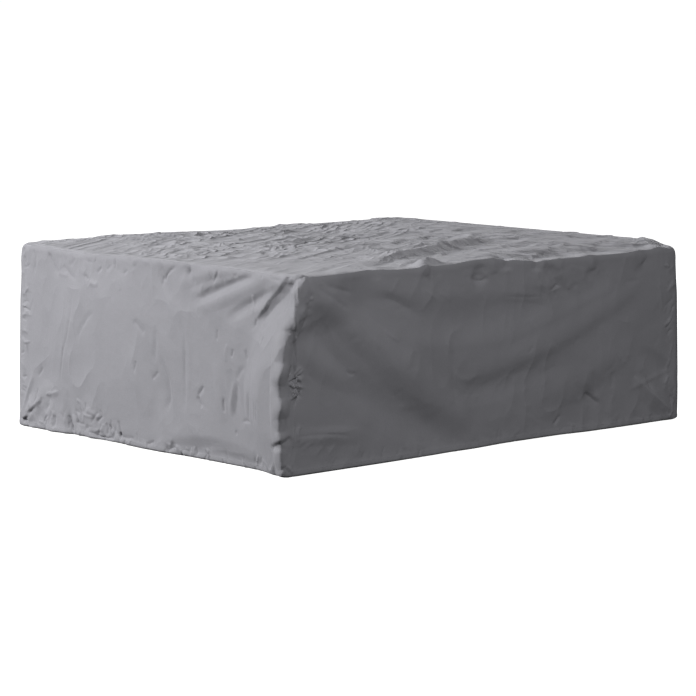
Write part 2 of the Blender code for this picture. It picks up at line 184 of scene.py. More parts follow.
# A soft fold runs from start through bend to end, two coordinates on its face of the box: X and
# Z in front and behind, Y and Z left and right, X and Y on the top. Its half width and its
# height out of the cloth are given at those three points, and a trough is minus.
Fold = namedtuple("Fold", "start bend end wide high")
LEFT_FOLDS = (
    # fanning out from the near corner's top
    ((-740, 850), (-520, 780), (-340, 710), (36, 42, 38), (-3, -6, -2)),
    ((-820, 840), (-620, 760), (-410, 690), (36, 42, 42), (4, 7, 3)),
    ((-890, 800), (-740, 730), (-590, 660), (32, 42, 36), (-3, -8, -3)),
    ((-600, 870), (-420, 830), (-260, 780), (36, 40, 40), (3, 7, 3)),
    ((-300, 870), (-300, 830), (-330, 780), (35, 40, 35), (-6, -9, -4)),
    ((-90, 840), (-120, 790), (-160, 730), (35, 40, 35), (-4, -7, -4)),
    # its middle and its hem
    ((-590, 400), (-630, 300), (-660, 200), (38, 44, 38), (-4, -8, -4)),
    ((-720, 400), (-720, 290), (-740, 180), (40, 40, 40), (4, 9, 4)),
    ((-500, 420), (-520, 320), (-540, 220), (45, 50, 45), (3, 7, 3)),
    ((0, 520), (-80, 340), (-180, 160), (70, 80, 80), (-4, -11, -6)),
    ((140, 500), (70, 340), (0, 200), (70, 80, 70), (3, 8, 3)),
    ((550, 660), (600, 450), (650, 250), (60, 60, 60), (2, 5, 2)),
    ((690, 660), (750, 440), (790, 280), (70, 80, 70), (-2, -4, -2)),
    ((590, 170), (580, 80), (570, 0), (50, 55, 60), (-3, -8, -12)),
    ((430, 160), (420, 80), (410, 0), (60, 60, 60), (4, 8, 12)),
    ((740, 190), (730, 90), (720, 0), (55, 60, 60), (4, 9, 12)),
    ((980, 20), (880, 90), (770, 200), (45, 60, 60), (4, 13, 4)),
)
FRONT_FOLDS = (
    # two swags that hang from its top corners and cross low in the middle
    ((-1200, 820), (-740, 500), (-260, 150), (70, 110, 130), (10, 18, 13)),
    ((-1120, 620), (-820, 310), (-280, 80), (70, 110, 120), (-7, -11, -12)),
    ((-1180, 640), (-1080, 480), (-930, 380), (50, 65, 60), (6, 13, 4)),
    ((960, 680), (330, 450), (-160, 350), (60, 80, 70), (2, 6, 4)),
    ((920, 570), (340, 350), (-140, 260), (70, 80, 80), (-2, -5, -6)),
    ((-950, 800), (-200, 600), (700, 760), (90, 130, 90), (-6, -14, -6)),
    ((-780, 740), (-660, 720), (-500, 660), (45, 50, 45), (-3, -5, -2)),
    ((50, 700), (180, 690), (340, 660), (45, 50, 45), (2, 5, 2)),
    ((-120, 810), (-120, 790), (-120, 760), (50, 55, 45), (-10, -14, -4)),
    ((340, 830), (380, 790), (440, 720), (45, 50, 45), (-8, -13, -4)),
    ((300, 220), (550, 250), (860, 380), (90, 110, 90), (4, 11, 4)),
    ((590, 190), (650, 130), (720, 50), (55, 60, 60), (-4, -11, -6)),
    ((1200, 20), (1090, 100), (970, 190), (50, 65, 60), (6, 14, 4)),
    ((1210, 200), (1130, 260), (1010, 330), (50, 65, 60), (-4, -10, -4)),
    ((-1200, 170), (-1060, 160), (-900, 140), (50, 50, 50), (4, 7, 4)),
)
TOP_FOLDS = (
    # one tall ridge, with lower wrinkles over all of it
    ((-980, -960), (-100, -600), (900, -260), (50, 70, 55), (3, 8, 2)),
    ((-700, -960), (60, -670), (860, -390), (60, 80, 60), (-2, -7, -2)),
    ((-400, -780), (-460, -900), (-470, -1020), (55, 60, 50), (2, 6, 6)),
    ((-720, -20), (-360, 120), (40, 360), (55, 60, 55), (3, 8, 3)),
    ((-520, -240), (-120, -120), (300, 100), (55, 65, 55), (3, 8, 3)),
    ((-640, 440), (-220, 500), (160, 720), (55, 65, 55), (3, 8, 3)),
    ((-1160, 520), (-900, 200), (-780, -220), (55, 60, 55), (2, 7, 2)),
    ((-1140, 120), (-980, -200), (-920, -580), (55, 60, 55), (2, 6, 2)),
    ((-1060, 900), (-660, 780), (-240, 860), (60, 65, 60), (2, 7, 2)),
    ((180, 620), (540, 340), (980, 300), (60, 65, 60), (2, 7, 2)),
    ((340, 880), (740, 660), (1120, 620), (60, 65, 60), (2, 7, 2)),
    ((300, -720), (700, -520), (1120, -460), (60, 65, 60), (2, 8, 2)),
    ((620, -920), (860, -760), (1140, -740), (55, 60, 55), (2, 7, 3)),
    ((1080, -840), (1140, -890), (1190, -940), (45, 50, 45), (-2, -7, -4)),
)
RIGHT_FOLDS = (
    ((-940, 820), (-450, 500), (80, 300), (70, 110, 120), (8, 15, 10)),
    ((940, 800), (550, 540), (100, 420), (70, 100, 110), (6, 13, 8)),
    ((-800, 500), (-380, 280), (100, 120), (80, 100, 110), (-6, -12, -10)),
    ((950, 20), (860, 110), (740, 220), (50, 65, 60), (6, 12, 4)),
    ((-360, 200), (-370, 100), (-380, 0), (70, 70, 70), (-4, -10, -14)),
)
BACK_FOLDS = (
    ((-1200, 800), (-700, 500), (-100, 320), (80, 120, 130), (8, 15, 10)),
    ((1200, 820), (780, 550), (200, 400), (80, 110, 120), (8, 14, 8)),
    ((1100, 520), (620, 280), (20, 120), (90, 110, 120), (-6, -13, -10)),
    ((-500, 220), (-510, 110), (-520, 0), (70, 70, 70), (4, 10, 14)),
    ((-660, 220), (-670, 110), (-680, 0), (70, 70, 70), (-4, -10, -14)),
)

# A crease is a sharp line through three places. Its two half widths are those on its right and
# on its left, seen from outside and looking from start to end, and its height is at its middle.
# The lower its power, the flatter its two flanks, and it narrows to its taper at its end.
CREASE_POWER = 1.6
CREASE_TAPER = 1.0
Crease = namedtuple("Crease", "start bend end right left high power taper",
                    defaults=(CREASE_POWER, CREASE_TAPER))
LEFT_CREASES = (
    # the sharpest fold, from the near corner's top: its crest and the valley under it
    ((-962, 925), (-862, 768), (-764, 664), 50, 10, 6, 1),
    ((-1004, 925), (-892, 750), (-786, 646), 40, 80, -19, 0.8, 0.7),
    # dents at the far corner's top and foot, and one in the hem
    ((995, 868), (972, 840), (984, 800), 12, 12, -12, 1.2),
    ((970, 866), (956, 852), (962, 826), 10, 12, -9, 1.2),
    ((985, 60), (960, 36), (900, 22), 16, 14, -11, 1.2),
    ((960, 20), (930, 50), (880, 66), 12, 16, 8, 1.2),
    ((420, 30), (330, 12), (240, 20), 12, 12, -9, 1.2),
    # the pocket at the sharpest fold's foot
    ((-770, 668), (-765, 650), (-762, 630), 12, 12, -6),
    ((-850, 640), (-832, 640), (-812, 636), 20, 20, -5),
    # the edge that turns the left wall into the corner's dark band
    ((-953, 390), (-948, 310), (-960, 220), 30, 26, 5),
    # the two folds beside it
    ((-740, 850), (-522, 772), (-345, 712), 18, 30, -6.5, 0.8),
    ((-700, 858), (-500, 795), (-340, 738), 30, 22, 4),
    ((-900, 812), (-750, 748), (-600, 676), 18, 30, -4.5, 0.8),
    ((-741, 770), (-744, 735), (-747, 690), 8, 14, 7, 1.2),
    # nicks under the top edge
    ((-306, 871), (-304, 850), (-299, 815), 20, 12, -9),
    ((-206, 849), (-150, 815), (-119, 776), 16, 16, -7),
    ((-115, 800), (-112, 780), (-110, 760), 14, 10, -6),
    ((-520, 862), (-495, 825), (-467, 785), 10, 18, -5),
    ((-430, 866), (-455, 835), (-475, 795), 14, 8, -4),
    ((-801, 868), (-805, 856), (-808, 840), 10, 12, -6),
    ((-861, 877), (-885, 868), (-907, 855), 12, 12, 5),
    ((-850, 856), (-880, 846), (-900, 850), 12, 12, -5),
    ((-600, 850), (-625, 838), (-640, 850), 12, 12, -4),
    ((-20, 862), (10, 854), (50, 862), 14, 14, 4),
    ((241, 860), (238, 838), (234, 812), 14, 12, -6),
    ((302, 804), (288, 812), (272, 825), 14, 14, -4),
    ((151, 872), (140, 860), (124, 844), 12, 12, -6),
    ((112, 872), (102, 860), (92, 848), 10, 10, 5),
    ((144, 811), (160, 800), (175, 790), 12, 12, -4),
    ((400, 868), (390, 850), (385, 835), 14, 14, -4),
    ((759, 845), (720, 800), (682, 752), 22, 16, -7),
    ((640, 800), (600, 770), (540, 740), 24, 20, -5),
    ((471, 772), (456, 758), (436, 750), 18, 14, -6),
    ((420, 750), (400, 732), (360, 735), 22, 22, 6),
    ((340, 815), (352, 800), (375, 786), 14, 14, -5),
    ((880, 850), (860, 800), (870, 740), 20, 20, -5),
    # long, thin creases and teardrops lower down
    ((554, 660), (575, 515), (630, 360), 14, 8, -3.4),
    ((615, 430), (630, 345), (650, 258), 8, 14, -3.4),
    ((390, 600), (460, 545), (515, 462), 30, 18, -4),
    ((85, 590), (50, 560), (15, 531), 26, 34, -6),
    ((-500, 600), (-502, 575), (-497, 550), 14, 12, -5.5),
    ((-612, 520), (-606, 500), (-600, 480), 14, 12, -5.5),
    ((-694, 530), (-704, 505), (-712, 480), 16, 14, -6.5),
    ((-850, 600), (-842, 578), (-830, 556), 14, 14, -5.5),
    ((-575, 540), (-560, 500), (-565, 460), 20, 20, 4),
    ((62, 405), (66, 380), (70, 352), 16, 12, -5),
    ((-41, 330), (-60, 350), (-80, 368), 14, 14, -4.5),
    ((-271, 562), (-274, 390), (-278, 212), 22, 16, -4.5),
    ((-300, 540), (-305, 400), (-300, 280), 20, 20, 3.5),
    ((-110, 430), (-164, 292), (-134, 190), 36, 24, -7),
    ((-63, 560), (-65, 488), (-49, 410), 30, 30, -5),
    ((-406, 335), (-385, 310), (-366, 285), 16, 22, -7),
    ((-366, 287), (-382, 264), (-401, 240), 22, 16, -8),
    ((-640, 375), (-626, 309), (-620, 208), 24, 34, -6),
    ((-612, 380), (-598, 309), (-592, 215), 16, 24, 4),
    ((-549, 296), (-551, 265), (-555, 232), 14, 14, -6),
    ((-690, 450), (-655, 420), (-640, 385), 24, 24, -5),
    ((-737, 340), (-739, 280), (-737, 218), 20, 12, -6),
    ((-752, 212), (-712, 212), (-672, 203), 18, 12, -5.5),
    ((-811, 318), (-808, 272), (-803, 224), 12, 12, -5),
    ((-828, 300), (-830, 262), (-826, 224), 12, 12, -5),
    ((-634, 160), (-634, 150), (-634, 138), 12, 12, -5),
    # the far bottom corner's folds and the gathers along the hem
    ((875, 255), (920, 150), (970, 35), 26, 22, 8),
    ((962, 236), (944, 241), (922, 246), 12, 12, -5),
    ((832, 254), (815, 275), (795, 300), 16, 16, -4.5),
    ((760, 176), (715, 184), (665, 200), 26, 14, 7),
    ((750, 178), (733, 144), (770, 88), 22, 22, -7),
    ((830, 120), (895, 66), (955, 18), 30, 22, -11),
    ((800, 150), (850, 112), (915, 72), 22, 22, 8),
    ((592, 94), (580, 50), (566, 0), 24, 13, -14),
    ((560, 100), (545, 50), (535, 0), 18, 20, 8),
    ((538, 108), (520, 82), (525, 55), 18, 14, -7),
    ((700, 90), (690, 55), (705, 18), 20, 16, -7),
    ((495, 140), (490, 105), (500, 70), 18, 18, -6),
    ((450, 130), (400, 125), (350, 98), 24, 24, 6),
    ((329, 117), (350, 100), (372, 80), 16, 20, -6),
    ((420, 60), (440, 45), (470, 30), 22, 22, -5),
    ((300, 85), (290, 55), (293, 20), 16, 14, -7),
    ((276, 80), (262, 45), (250, 6), 18, 14, -9),
    ((209, 32), (150, 33), (85, 40), 18, 18, -5.5),
    ((0, 22), (-30, 32), (-62, 46), 16, 16, -6),
    ((-140, 6), (-170, 24), (-205, 36), 18, 30, -10),
    ((-200, 38), (-232, 26), (-270, 4), 22, 22, 7),
    ((-425, 50), (-585, 62), (-760, 50), 50, 60, 6),
)
FRONT_CREASES = (
    ((-798, 575), (-786, 548), (-772, 518), 14, 14, 3.5),
    ((-725, 596), (-690, 568), (-630, 538), 14, 20, 4),
    ((50, 692), (170, 680), (290, 681), 14, 20, -2.2),
    ((340, 700), (390, 722), (440, 732), 16, 18, 3.5),
    ((-720, 742), (-640, 720), (-550, 671), 24, 30, -3.5),
    ((-1160, 820), (-1050, 760), (-940, 705), 22, 22, -5),
    ((-1105, 822), (-1010, 800), (-920, 776), 20, 20, -4.5),
    ((-941, 436), (-920, 418), (-890, 422), 14, 18, -4.5),
    ((-1190, 172), (-1050, 165), (-915, 142), 14, 20, -4),
    ((-170, 796), (-115, 768), (-58, 788), 26, 18, -9),
    ((350, 700), (385, 730), (420, 748), 18, 18, -5),
    ((1047, 160), (1032, 190), (1012, 230), 22, 16, -6),
    ((704, 122), (655, 155), (596, 190), 18, 20, -5.5),
    ((430, 98), (405, 70), (380, 52), 18, 18, -5.5),
    ((930, 232), (1091, 110), (1215, 30), 34, 26, 7),
    ((-295, 372), (-202, 322), (-108, 356), 30, 30, 3.5),
    ((-291, 372), (-275, 300), (-248, 222), 30, 20, -3.5),
    ((-1148, 212), (-1168, 200), (-1174, 145), 10, 12, 7, 1.3),
    ((-1162, 108), (-1135, 128), (-1104, 142), 9, 9, 2.5),
    ((-1110, 75), (-1085, 105), (-1057, 130), 9, 9, 2.5),
    ((-1045, 73), (-1025, 98), (-998, 120), 9, 9, 2.5),
    ((-1180, 128), (-1160, 142), (-1143, 152), 9, 9, 2.5),
    ((1112, 680), (1128, 610), (1133, 540), 24, 20, 3.5),
    ((640, 290), (660, 225), (680, 165), 30, 26, -5),
    ((780, 275), (782, 230), (784, 190), 26, 26, -4),
    ((905, 175), (1040, 215), (1190, 240), 24, 24, 4),
    ((-335, 525), (-315, 485), (-288, 458), 20, 20, 3),
    ((198, 414), (214, 426), (232, 444), 14, 14, -3),
)
TOP_CREASES = (
    # the tall ridge, and the steep side of the hump on the front edge
    ((-960, -970), (-100, -610), (820, -285), 30, 110, 12, 1.2),
    ((-560, -800), (0, -572), (560, -372), 30, 100, 9, 1.2),
    ((-440, -955), (-360, -962), (-270, -988), 16, 60, 12, 1.2),
    # the lower ridges beside it
    ((-440, -545), (-260, -510), (-90, -450), 18, 60, 5.5, 1.3),
    ((50, -330), (470, -220), (1000, 10), 24, 80, 7.5, 1.3),
    ((20, -220), (200, -100), (430, 90), 26, 70, 7.5, 1.3),
    ((320, -130), (500, 20), (660, 140), 22, 60, 6, 1.3),
    ((-830, -930), (-650, -950), (-420, -870), 14, 50, 6, 1.3),
    ((-70, -690), (140, -560), (400, -560), 22, 60, 6.5, 1.3),
    ((-230, -970), (-130, -930), (-60, -970), 16, 40, 5.5, 1.3),
    ((20, -760), (80, -800), (140, -850), 16, 40, 5.5, 1.3),
    ((0, -900), (80, -930), (160, -990), 18, 50, 6, 1.3),
    ((460, -940), (540, -800), (660, -720), 20, 60, 6.5, 1.3),
    ((-1190, -980), (-900, -830), (-600, -660), 16, 60, 6, 1.3),
    ((-1070, -900), (-760, -700), (-440, -550), 16, 60, 5, 1.3),
    # the strongest lines further back
    ((-790, -250), (-700, -290), (-610, -330), 15, 50, 7.5, 1.3),
    ((-430, 360), (-600, -20), (-640, -330), 14, 40, 7, 1.3),
    ((-720, 740), (-650, 700), (-590, 650), 14, 50, 6.5, 1.3),
    ((-610, 540), (-570, 470), (-520, 400), 14, 50, 6.5, 1.3),
    ((-1040, 940), (-950, 925), (-850, 900), 14, 50, 6, 1.3),
    ((-780, 940), (-680, 920), (-580, 880), 14, 50, 6, 1.3),
    ((-1000, -190), (-960, -230), (-920, -260), 14, 40, 6, 1.3),
    ((-880, 220), (-840, 180), (-800, 120), 14, 40, 6, 1.3),
    # the bundle that rises to the right, far back
    ((-160, 700), (80, 830), (340, 910), 26, 60, 6.5, 1.3),
    ((-290, 480), (0, 640), (300, 760), 28, 65, 7, 1.3),
    ((-340, 290), (0, 470), (310, 600), 28, 65, 7, 1.3),
    ((-410, 90), (-100, 260), (210, 350), 28, 65, 7, 1.3),
    ((-460, -150), (-220, -20), (60, 90), 26, 60, 6.5, 1.3),
    ((-580, 0), (-440, -40), (-300, -30), 18, 50, 5, 1.3),
    ((-520, -330), (-300, -230), (-100, -150), 22, 60, 6, 1.3),
)
RIGHT_CREASES = (
    ((900, 160), (830, 130), (780, 60), 30, 24, -7),
    ((-420, 140), (-400, 70), (-395, 0), 24, 24, -8),
)
BACK_CREASES = (
    ((-620, 160), (-610, 80), (-600, 0), 30, 24, -8),
    ((900, 760), (780, 660), (700, 560), 36, 28, 6),
)

# A sprinkling of creases, strewn over a stretch of a face: how many, the way they run in degrees
# from the first coordinate and its spread, their length, their half widths on the right and the
# left, their height, the share of them that are troughs, and the seed
Strewn = namedtuple("Strewn", "low high count turn spread length right left height troughs seed")

# Each crease's own length, half widths and height are these shares of those: the least, and how
# much it may have past the least. Its bow is a share of its half length.
STREWN_LENGTHS = (0.5, 1.0)
STREWN_WIDTHS = (0.7, 0.6)
STREWN_HEIGHTS = (0.4, 1.2)
STREWN_BOW = 0.16

LEFT_STREWN = (
    Strewn((-0.95, 0.10), (0.92, 0.84), 60, 90, 30, 0.150, 0.034, 0.034, 0.0010, 0.5, 11),
    Strewn((-0.60, 0.72), (0.90, 0.86), 46, 60, 60, 0.055, 0.018, 0.014, 0.0018, 0.5, 12),
    Strewn((0.20, 0.00), (0.90, 0.16), 30, 80, 40, 0.060, 0.016, 0.012, 0.0046, 0.6, 13),
    Strewn((-0.98, 0.84), (0.95, 0.87), 60, 90, 30, 0.036, 0.008, 0.008, 0.0016, 0.5, 14),
    Strewn((0.93, 0.03), (0.99, 0.85), 44, 20, 40, 0.060, 0.012, 0.010, 0.0040, 0.5, 15),
    Strewn((-0.94, 0.00), (0.94, 0.05), 60, 90, 30, 0.050, 0.014, 0.010, 0.0042, 0.6, 16),
)
FRONT_STREWN = (
    Strewn((-1.18, 0.06), (1.18, 0.82), 90, 0, 90, 0.080, 0.028, 0.028, 0.0012, 0.5, 21),
    Strewn((-1.18, 0.70), (1.18, 0.84), 40, 0, 60, 0.070, 0.020, 0.020, 0.0018, 0.5, 22),
    Strewn((-1.21, 0.34), (-1.15, 0.46), 26, 60, 40, 0.050, 0.010, 0.009, 0.0080, 0.4, 23),
    Strewn((-1.24, 0.60), (-1.19, 0.80), 20, 70, 40, 0.045, 0.009, 0.008, 0.0035, 0.4, 24),
    Strewn((1.17, 0.03), (1.24, 0.84), 40, 70, 40, 0.060, 0.012, 0.010, 0.0036, 0.5, 25),
    Strewn((-1.16, 0.00), (1.18, 0.05), 70, 90, 30, 0.050, 0.014, 0.010, 0.0020, 0.5, 26),
)
TOP_STREWN = (
    # fine tucks, most of them with their steep side to the near corner
    Strewn((-1.15, -0.10), (1.15, 0.97), 180, -40, 16, 0.220, 0.012, 0.045, 0.0046, 0.1, 31),
    Strewn((-0.60, -0.97), (1.18, -0.10), 120, -36, 18, 0.220, 0.012, 0.045, 0.0046, 0.1, 32),
    Strewn((-0.55, 0.00), (0.75, 0.95), 30, 24, 8, 0.380, 0.018, 0.055, 0.0045, 0.0, 33),
    Strewn((-0.70, -0.92), (1.10, -0.05), 46, 20, 10, 0.360, 0.016, 0.050, 0.0045, 0.0, 34),
    Strewn((-0.75, -0.35), (-0.20, 0.50), 16, -106, 9, 0.300, 0.014, 0.040, 0.0055, 0.0, 35),
    Strewn((-1.20, -0.90), (-0.70, 0.10), 30, -30, 20, 0.200, 0.016, 0.050, 0.0026, 0.2, 36),
    Strewn((-1.15, -0.92), (1.18, 0.95), 240, 0, 90, 0.090, 0.016, 0.026, 0.0022, 0.5, 37),
)
RIGHT_STREWN = (Strewn((-0.92, 0.04), (0.92, 0.84), 44, 80, 40, 0.170, 0.040, 0.034, 0.0014, 0.5, 41),)
BACK_STREWN = (Strewn((-1.16, 0.04), (1.16, 0.84), 56, 80, 40, 0.170, 0.040, 0.034, 0.0014, 0.5, 51),)

# The cover's sewn edges stand out crisper than its plain box: a ridge along each, in X, Y and Z
# and in metres. These are the middles of the plain box's rounded corners and edges.
CORNER_LINE = HALF_SIZE - CORNER_RADIUS * (1 - math.sqrt(0.5))
EDGE_LINE = HALF_SIZE - EDGE_RADIUS * (1 - math.sqrt(0.5))
EDGE_HEIGHT = WALL_HEIGHT + EDGE_RADIUS * math.sqrt(0.5)
NEAR_X, NEAR_Y = -CORNER_LINE
FAR_X, FAR_Y = CORNER_LINE
EDGES = (
    # the near corner, from the top down, and the nick by its foot
    Crease((NEAR_X, NEAR_Y, 0.95), (NEAR_X, NEAR_Y, 0.80), (-1.240, -0.987, 0.64),
           0.050, 0.044, 0.024, 1.0),
    Crease((-1.231, -0.993, 0.74), (-1.234, -0.992, 0.58), (-1.240, -0.986, 0.40),
           0.055, 0.036, 0.022, 1.0),
    Crease((-1.237, -0.990, 0.50), (-1.249, -0.978, 0.39), (-1.232, -0.993, 0.26),
           0.050, 0.034, 0.022, 1.0),
    Crease((-1.234, -0.992, 0.35), (-1.249, -0.978, 0.245), (-1.243, -0.984, 0.13),
           0.046, 0.034, 0.021, 1.0),
    Crease((-1.238, -0.989, 0.20), (-1.248, -0.980, 0.08), (-1.249, -0.978, -0.06),
           0.040, 0.034, 0.019, 1.0),
    Crease((-1.262, -0.940, 0.128), (-1.247, -0.980, 0.147), (-1.205, -1.000, 0.176),
           0.030, 0.018, -0.015, 1.3),
    # the top end of the valley under the sharpest fold
    Crease((-1.226, -0.994, 0.874), (-1.247, -0.978, 0.850), (-1.259, -0.940, 0.808),
           0.031, 0.022, -0.0180, 0.75),
    # the thin ridge along the stitched corner
    Crease((-1.255, -0.970, 0.82), (-1.250, -0.977, 0.755), (-1.243, -0.984, 0.69),
           0.008, 0.008, 0.0095, 1.0),
    Crease((-1.245, -0.982, 0.71), (-1.223, -0.9965, 0.64), (-1.198, -1.000, 0.57),
           0.008, 0.008, 0.0095, 1.0),
    Crease((-1.206, -1.000, 0.59), (-1.188, -1.000, 0.53), (-1.180, -1.000, 0.46),
           0.008, 0.008, 0.0095, 1.0),
    # two small creases at the near corner's foot
    Crease((-1.240, -0.985, 0.060), (-1.230, -0.994, 0.040), (-1.222, -0.998, 0.015),
           0.012, 0.012, 0.006),
    Crease((-1.250, -0.975, 0.030), (-1.240, -0.985, 0.045), (-1.228, -0.995, 0.055),
           0.010, 0.012, -0.006),
    # the other corners
    *(Crease((x, y, 0.90), (x, y, 0.44), (x, y, -0.05), 0.040, 0.040, 0.010)
      for x, y in ((FAR_X, NEAR_Y), (NEAR_X, FAR_Y), (FAR_X, FAR_Y))),
    # round the top
    Crease((-EDGE_LINE[0], -1.05, EDGE_HEIGHT), (-EDGE_LINE[0], 0.0, EDGE_HEIGHT),
           (-EDGE_LINE[0], 1.05, EDGE_HEIGHT), 0.030, 0.030, 0.0110, 1.8),
    Crease((-1.30, -EDGE_LINE[1], EDGE_HEIGHT), (0.0, -EDGE_LINE[1], EDGE_HEIGHT),
           (1.30, -EDGE_LINE[1], EDGE_HEIGHT), 0.028, 0.028, 0.0130, 1.7),
    Crease((-1.30, EDGE_LINE[1], EDGE_HEIGHT), (0.0, EDGE_LINE[1], EDGE_HEIGHT),
           (1.30, EDGE_LINE[1], EDGE_HEIGHT), 0.026, 0.026, 0.0060),
    Crease((EDGE_LINE[0], -1.05, EDGE_HEIGHT), (EDGE_LINE[0], 0.0, EDGE_HEIGHT),
           (EDGE_LINE[0], 1.05, EDGE_HEIGHT), 0.026, 0.026, 0.0070),
    # the hump on the front's top edge, and the folds that roll over that edge
    Crease((-0.500, -0.985, 0.87), (-0.415, -0.958, 0.87), (-0.330, -0.950, 0.87),
           0.040, 0.060, 0.026, 1.5),
    Crease((-0.470, -0.950, 0.87), (-0.455, -0.990, 0.855), (-0.450, -1.000, 0.83),
           0.024, 0.030, 0.007, 1.3),
    Crease((-0.860, -0.900, 0.87), (-0.780, -0.975, 0.86), (-0.760, -1.000, 0.82),
           0.040, 0.040, -0.006, 1.4),
    Crease((-0.100, -0.860, 0.87), (-0.040, -0.975, 0.86), (-0.020, -1.000, 0.80),
           0.050, 0.050, 0.009, 1.3),
    Crease((0.100, -0.900, 0.87), (0.070, -0.980, 0.86), (0.060, -1.000, 0.82),
           0.040, 0.050, -0.012, 1.4),
    Crease((0.300, -0.900, 0.87), (0.270, -0.980, 0.86), (0.260, -1.000, 0.82),
           0.050, 0.050, -0.012, 1.4),
    Crease((0.360, -0.880, 0.87), (0.410, -0.975, 0.86), (0.420, -1.000, 0.82),
           0.040, 0.040, 0.007, 1.3),
    Crease((0.550, -0.840, 0.87), (0.620, -0.975, 0.86), (0.640, -1.000, 0.80),
           0.070, 0.050, 0.013, 1.3),
    Crease((0.850, -0.860, 0.87), (0.950, -0.975, 0.86), (1.000, -1.000, 0.81),
           0.090, 0.070, 0.013, 1.4),
    Crease((1.080, -1.000, 0.87), (1.130, -0.900, 0.87), (1.240, -0.780, 0.87),
           0.080, 0.040, 0.010, 1.3),
)

# The plain box's faces: where two coordinates of a face lie in the box, and what shapes its cloth
Face = namedtuple("Face", "place folds creases strewn")
FACES = (
    Face(lambda y, z: (-LENGTH / 2, y, z), LEFT_FOLDS, LEFT_CREASES, LEFT_STREWN),
    Face(lambda x, z: (x, -WIDTH / 2, z), FRONT_FOLDS, FRONT_CREASES, FRONT_STREWN),
    Face(lambda x, y: (x, y, HEIGHT), TOP_FOLDS, TOP_CREASES, TOP_STREWN),
    Face(lambda y, z: (LENGTH / 2, y, z), RIGHT_FOLDS, RIGHT_CREASES, RIGHT_STREWN),
    Face(lambda x, z: (x, WIDTH / 2, z), BACK_FOLDS, BACK_CREASES, BACK_STREWN),
)

# The straight steps that stand for a fold's and a crease's curve, and the power by which a crease
# runs out at its ends
FOLD_STEPS = 12
CREASE_STEPS = 3
CREASE_RUN_OUT = 0.9

# The camera: where it stands, the way it looks, and its lens for a square picture
CAMERA_TURN = math.radians(-42.265)
CAMERA_DIP = math.radians(7.2795)
CAMERA_BACK = 13.9875
CAMERA_SIDE = -0.0153
CAMERA_HEIGHT = 2.1467
CAMERA_LENS = 150.0
CAMERA_SENSOR = 36.0

# The light: a soft box low on the left, one above and behind, and weak ones in front and at the
# right, each with the way to it from the cover's middle
Softbox = namedtuple("Softbox", "name way distance size power")
SOFTBOXES = (
    Softbox("left_softbox", (-0.83, 0.38, 0.40), 10.0, 2.2, 1460.0),
    Softbox("top_softbox", (0.22, 0.50, 0.84), 12.0, 1.8, 910.0),
    Softbox("front_fill", (-0.22, -0.84, 0.50), 9.0, 4.0, 400.0),
    Softbox("side_fill", (0.92, 0.30, 0.25), 9.0, 4.0, 100.0),
)

# A value that runs from low at its source's start to high at its source's end
Fade = namedtuple("Fade", "start end low high")

# The dim room, paler above than below, and the pale floor
ROOM_LIGHT = Fade(-0.35, 0.75, 0.12, 0.32)
FLOOR_SIZE = 900.0
FLOOR_DROP = 0.0015
FLOOR_COLOUR = (0.30, 0.30, 0.30, 1.0)
FLOOR_ROUGHNESS = 0.9
FLOOR_GLOW = 1.02
WHITE = (1.0, 1.0, 1.0, 1.0)

# The coated cloth's colour and gloss, with its faint mottling, grain and weave
CLOTH_COLOUR = (0.218, 0.217, 0.234, 1.0)
CLOTH_SHEEN = 0.03
CLOTH_SHEEN_ROUGHNESS = 0.5
CLOTH_SPECULAR = 0.16
CLOTH_ROUGHNESS = Fade(0.3, 0.7, 0.62, 0.74)
ROUGHNESS_SCALE = 14.0
ROUGHNESS_DETAIL = 5.0
MOTTLE_TONE = Fade(0.3, 0.7, 0.965, 1.035)
MOTTLE_SCALE = 3.2
MOTTLE_DETAIL = 4.0
GRAIN_TONE = Fade(0.3, 0.7, 0.97, 1.03)
GRAIN_SCALE = 210.0
WEAVE_TONE = Fade(0.0, 0.6, 0.975, 1.02)
WEAVE_SCALE = 320.0
WEAVE_WOBBLE = 0.6
WEAVE_DEPTH = 0.00012
WEAVE_STRENGTH = 0.6

# Fine streaks in the cloth: the sizes that their pattern is stretched to, up, along and across,
# and the way that they run over the top, in degrees. The mean is taken off those that fade out.
Streaks = namedtuple("Streaks", "tall long short turn")
STREAK_DETAIL = 1.6
STREAK_ROUGHNESS = 0.4
STREAK_MEAN = 0.8

# The top's streaks: level ones all over, rising ones on the left, by X - Y, and finer ones on the
# right, by X. All of them fade out at its ends and sides, and are calmer at the near corner, by
# X + Y.
LEVEL_STREAKS = Streaks(2.0, 0.85, 0.065, -42.0)
LEVEL_SHARE = 1.3
RISING_STREAKS = Streaks(2.0, 0.80, 0.055, 25.0)
RISING_FADE = Fade(0.0, 0.9, 1.1, 0.1)
RISING_LEFT_FADE = Fade(-1.4, -0.8, 0.9, 1.0)
RIGHT_STREAKS = Streaks(2.0, 0.45, 0.075, -30.0)
RIGHT_FADE = Fade(-0.5, 0.3, 0.0, 1.8)
ENDS_FADE = Fade(LENGTH / 2 - 0.060, LENGTH / 2 - 0.012, 1.0, 0.0)
SIDES_FADE = Fade(WIDTH / 2 - 0.060, WIDTH / 2 - 0.012, 1.0, 0.0)
NEAR_FADE = Fade(-1.6, -0.9, 0.35, 1.0)
STREAK_DEPTH = 0.012

# Small crumples, with calm patches, and the coating's crinkles
CRUMPLES = Streaks(0.20, 0.13, 0.13, 0.0)
CRUMPLE_DEPTH = 0.0055
CALM_FADE = Fade(0.42, 0.62, 0.15, 1.0)
CALM_SCALE = 2.6
CALM_DETAIL = 1.0
CRINKLE_SCALE = 17.0
CRINKLE_DETAIL = 7.0
CRINKLE_ROUGHNESS = 0.55
CRINKLE_DEPTH = 0.0030
CRINKLE_STRENGTH = 0.6

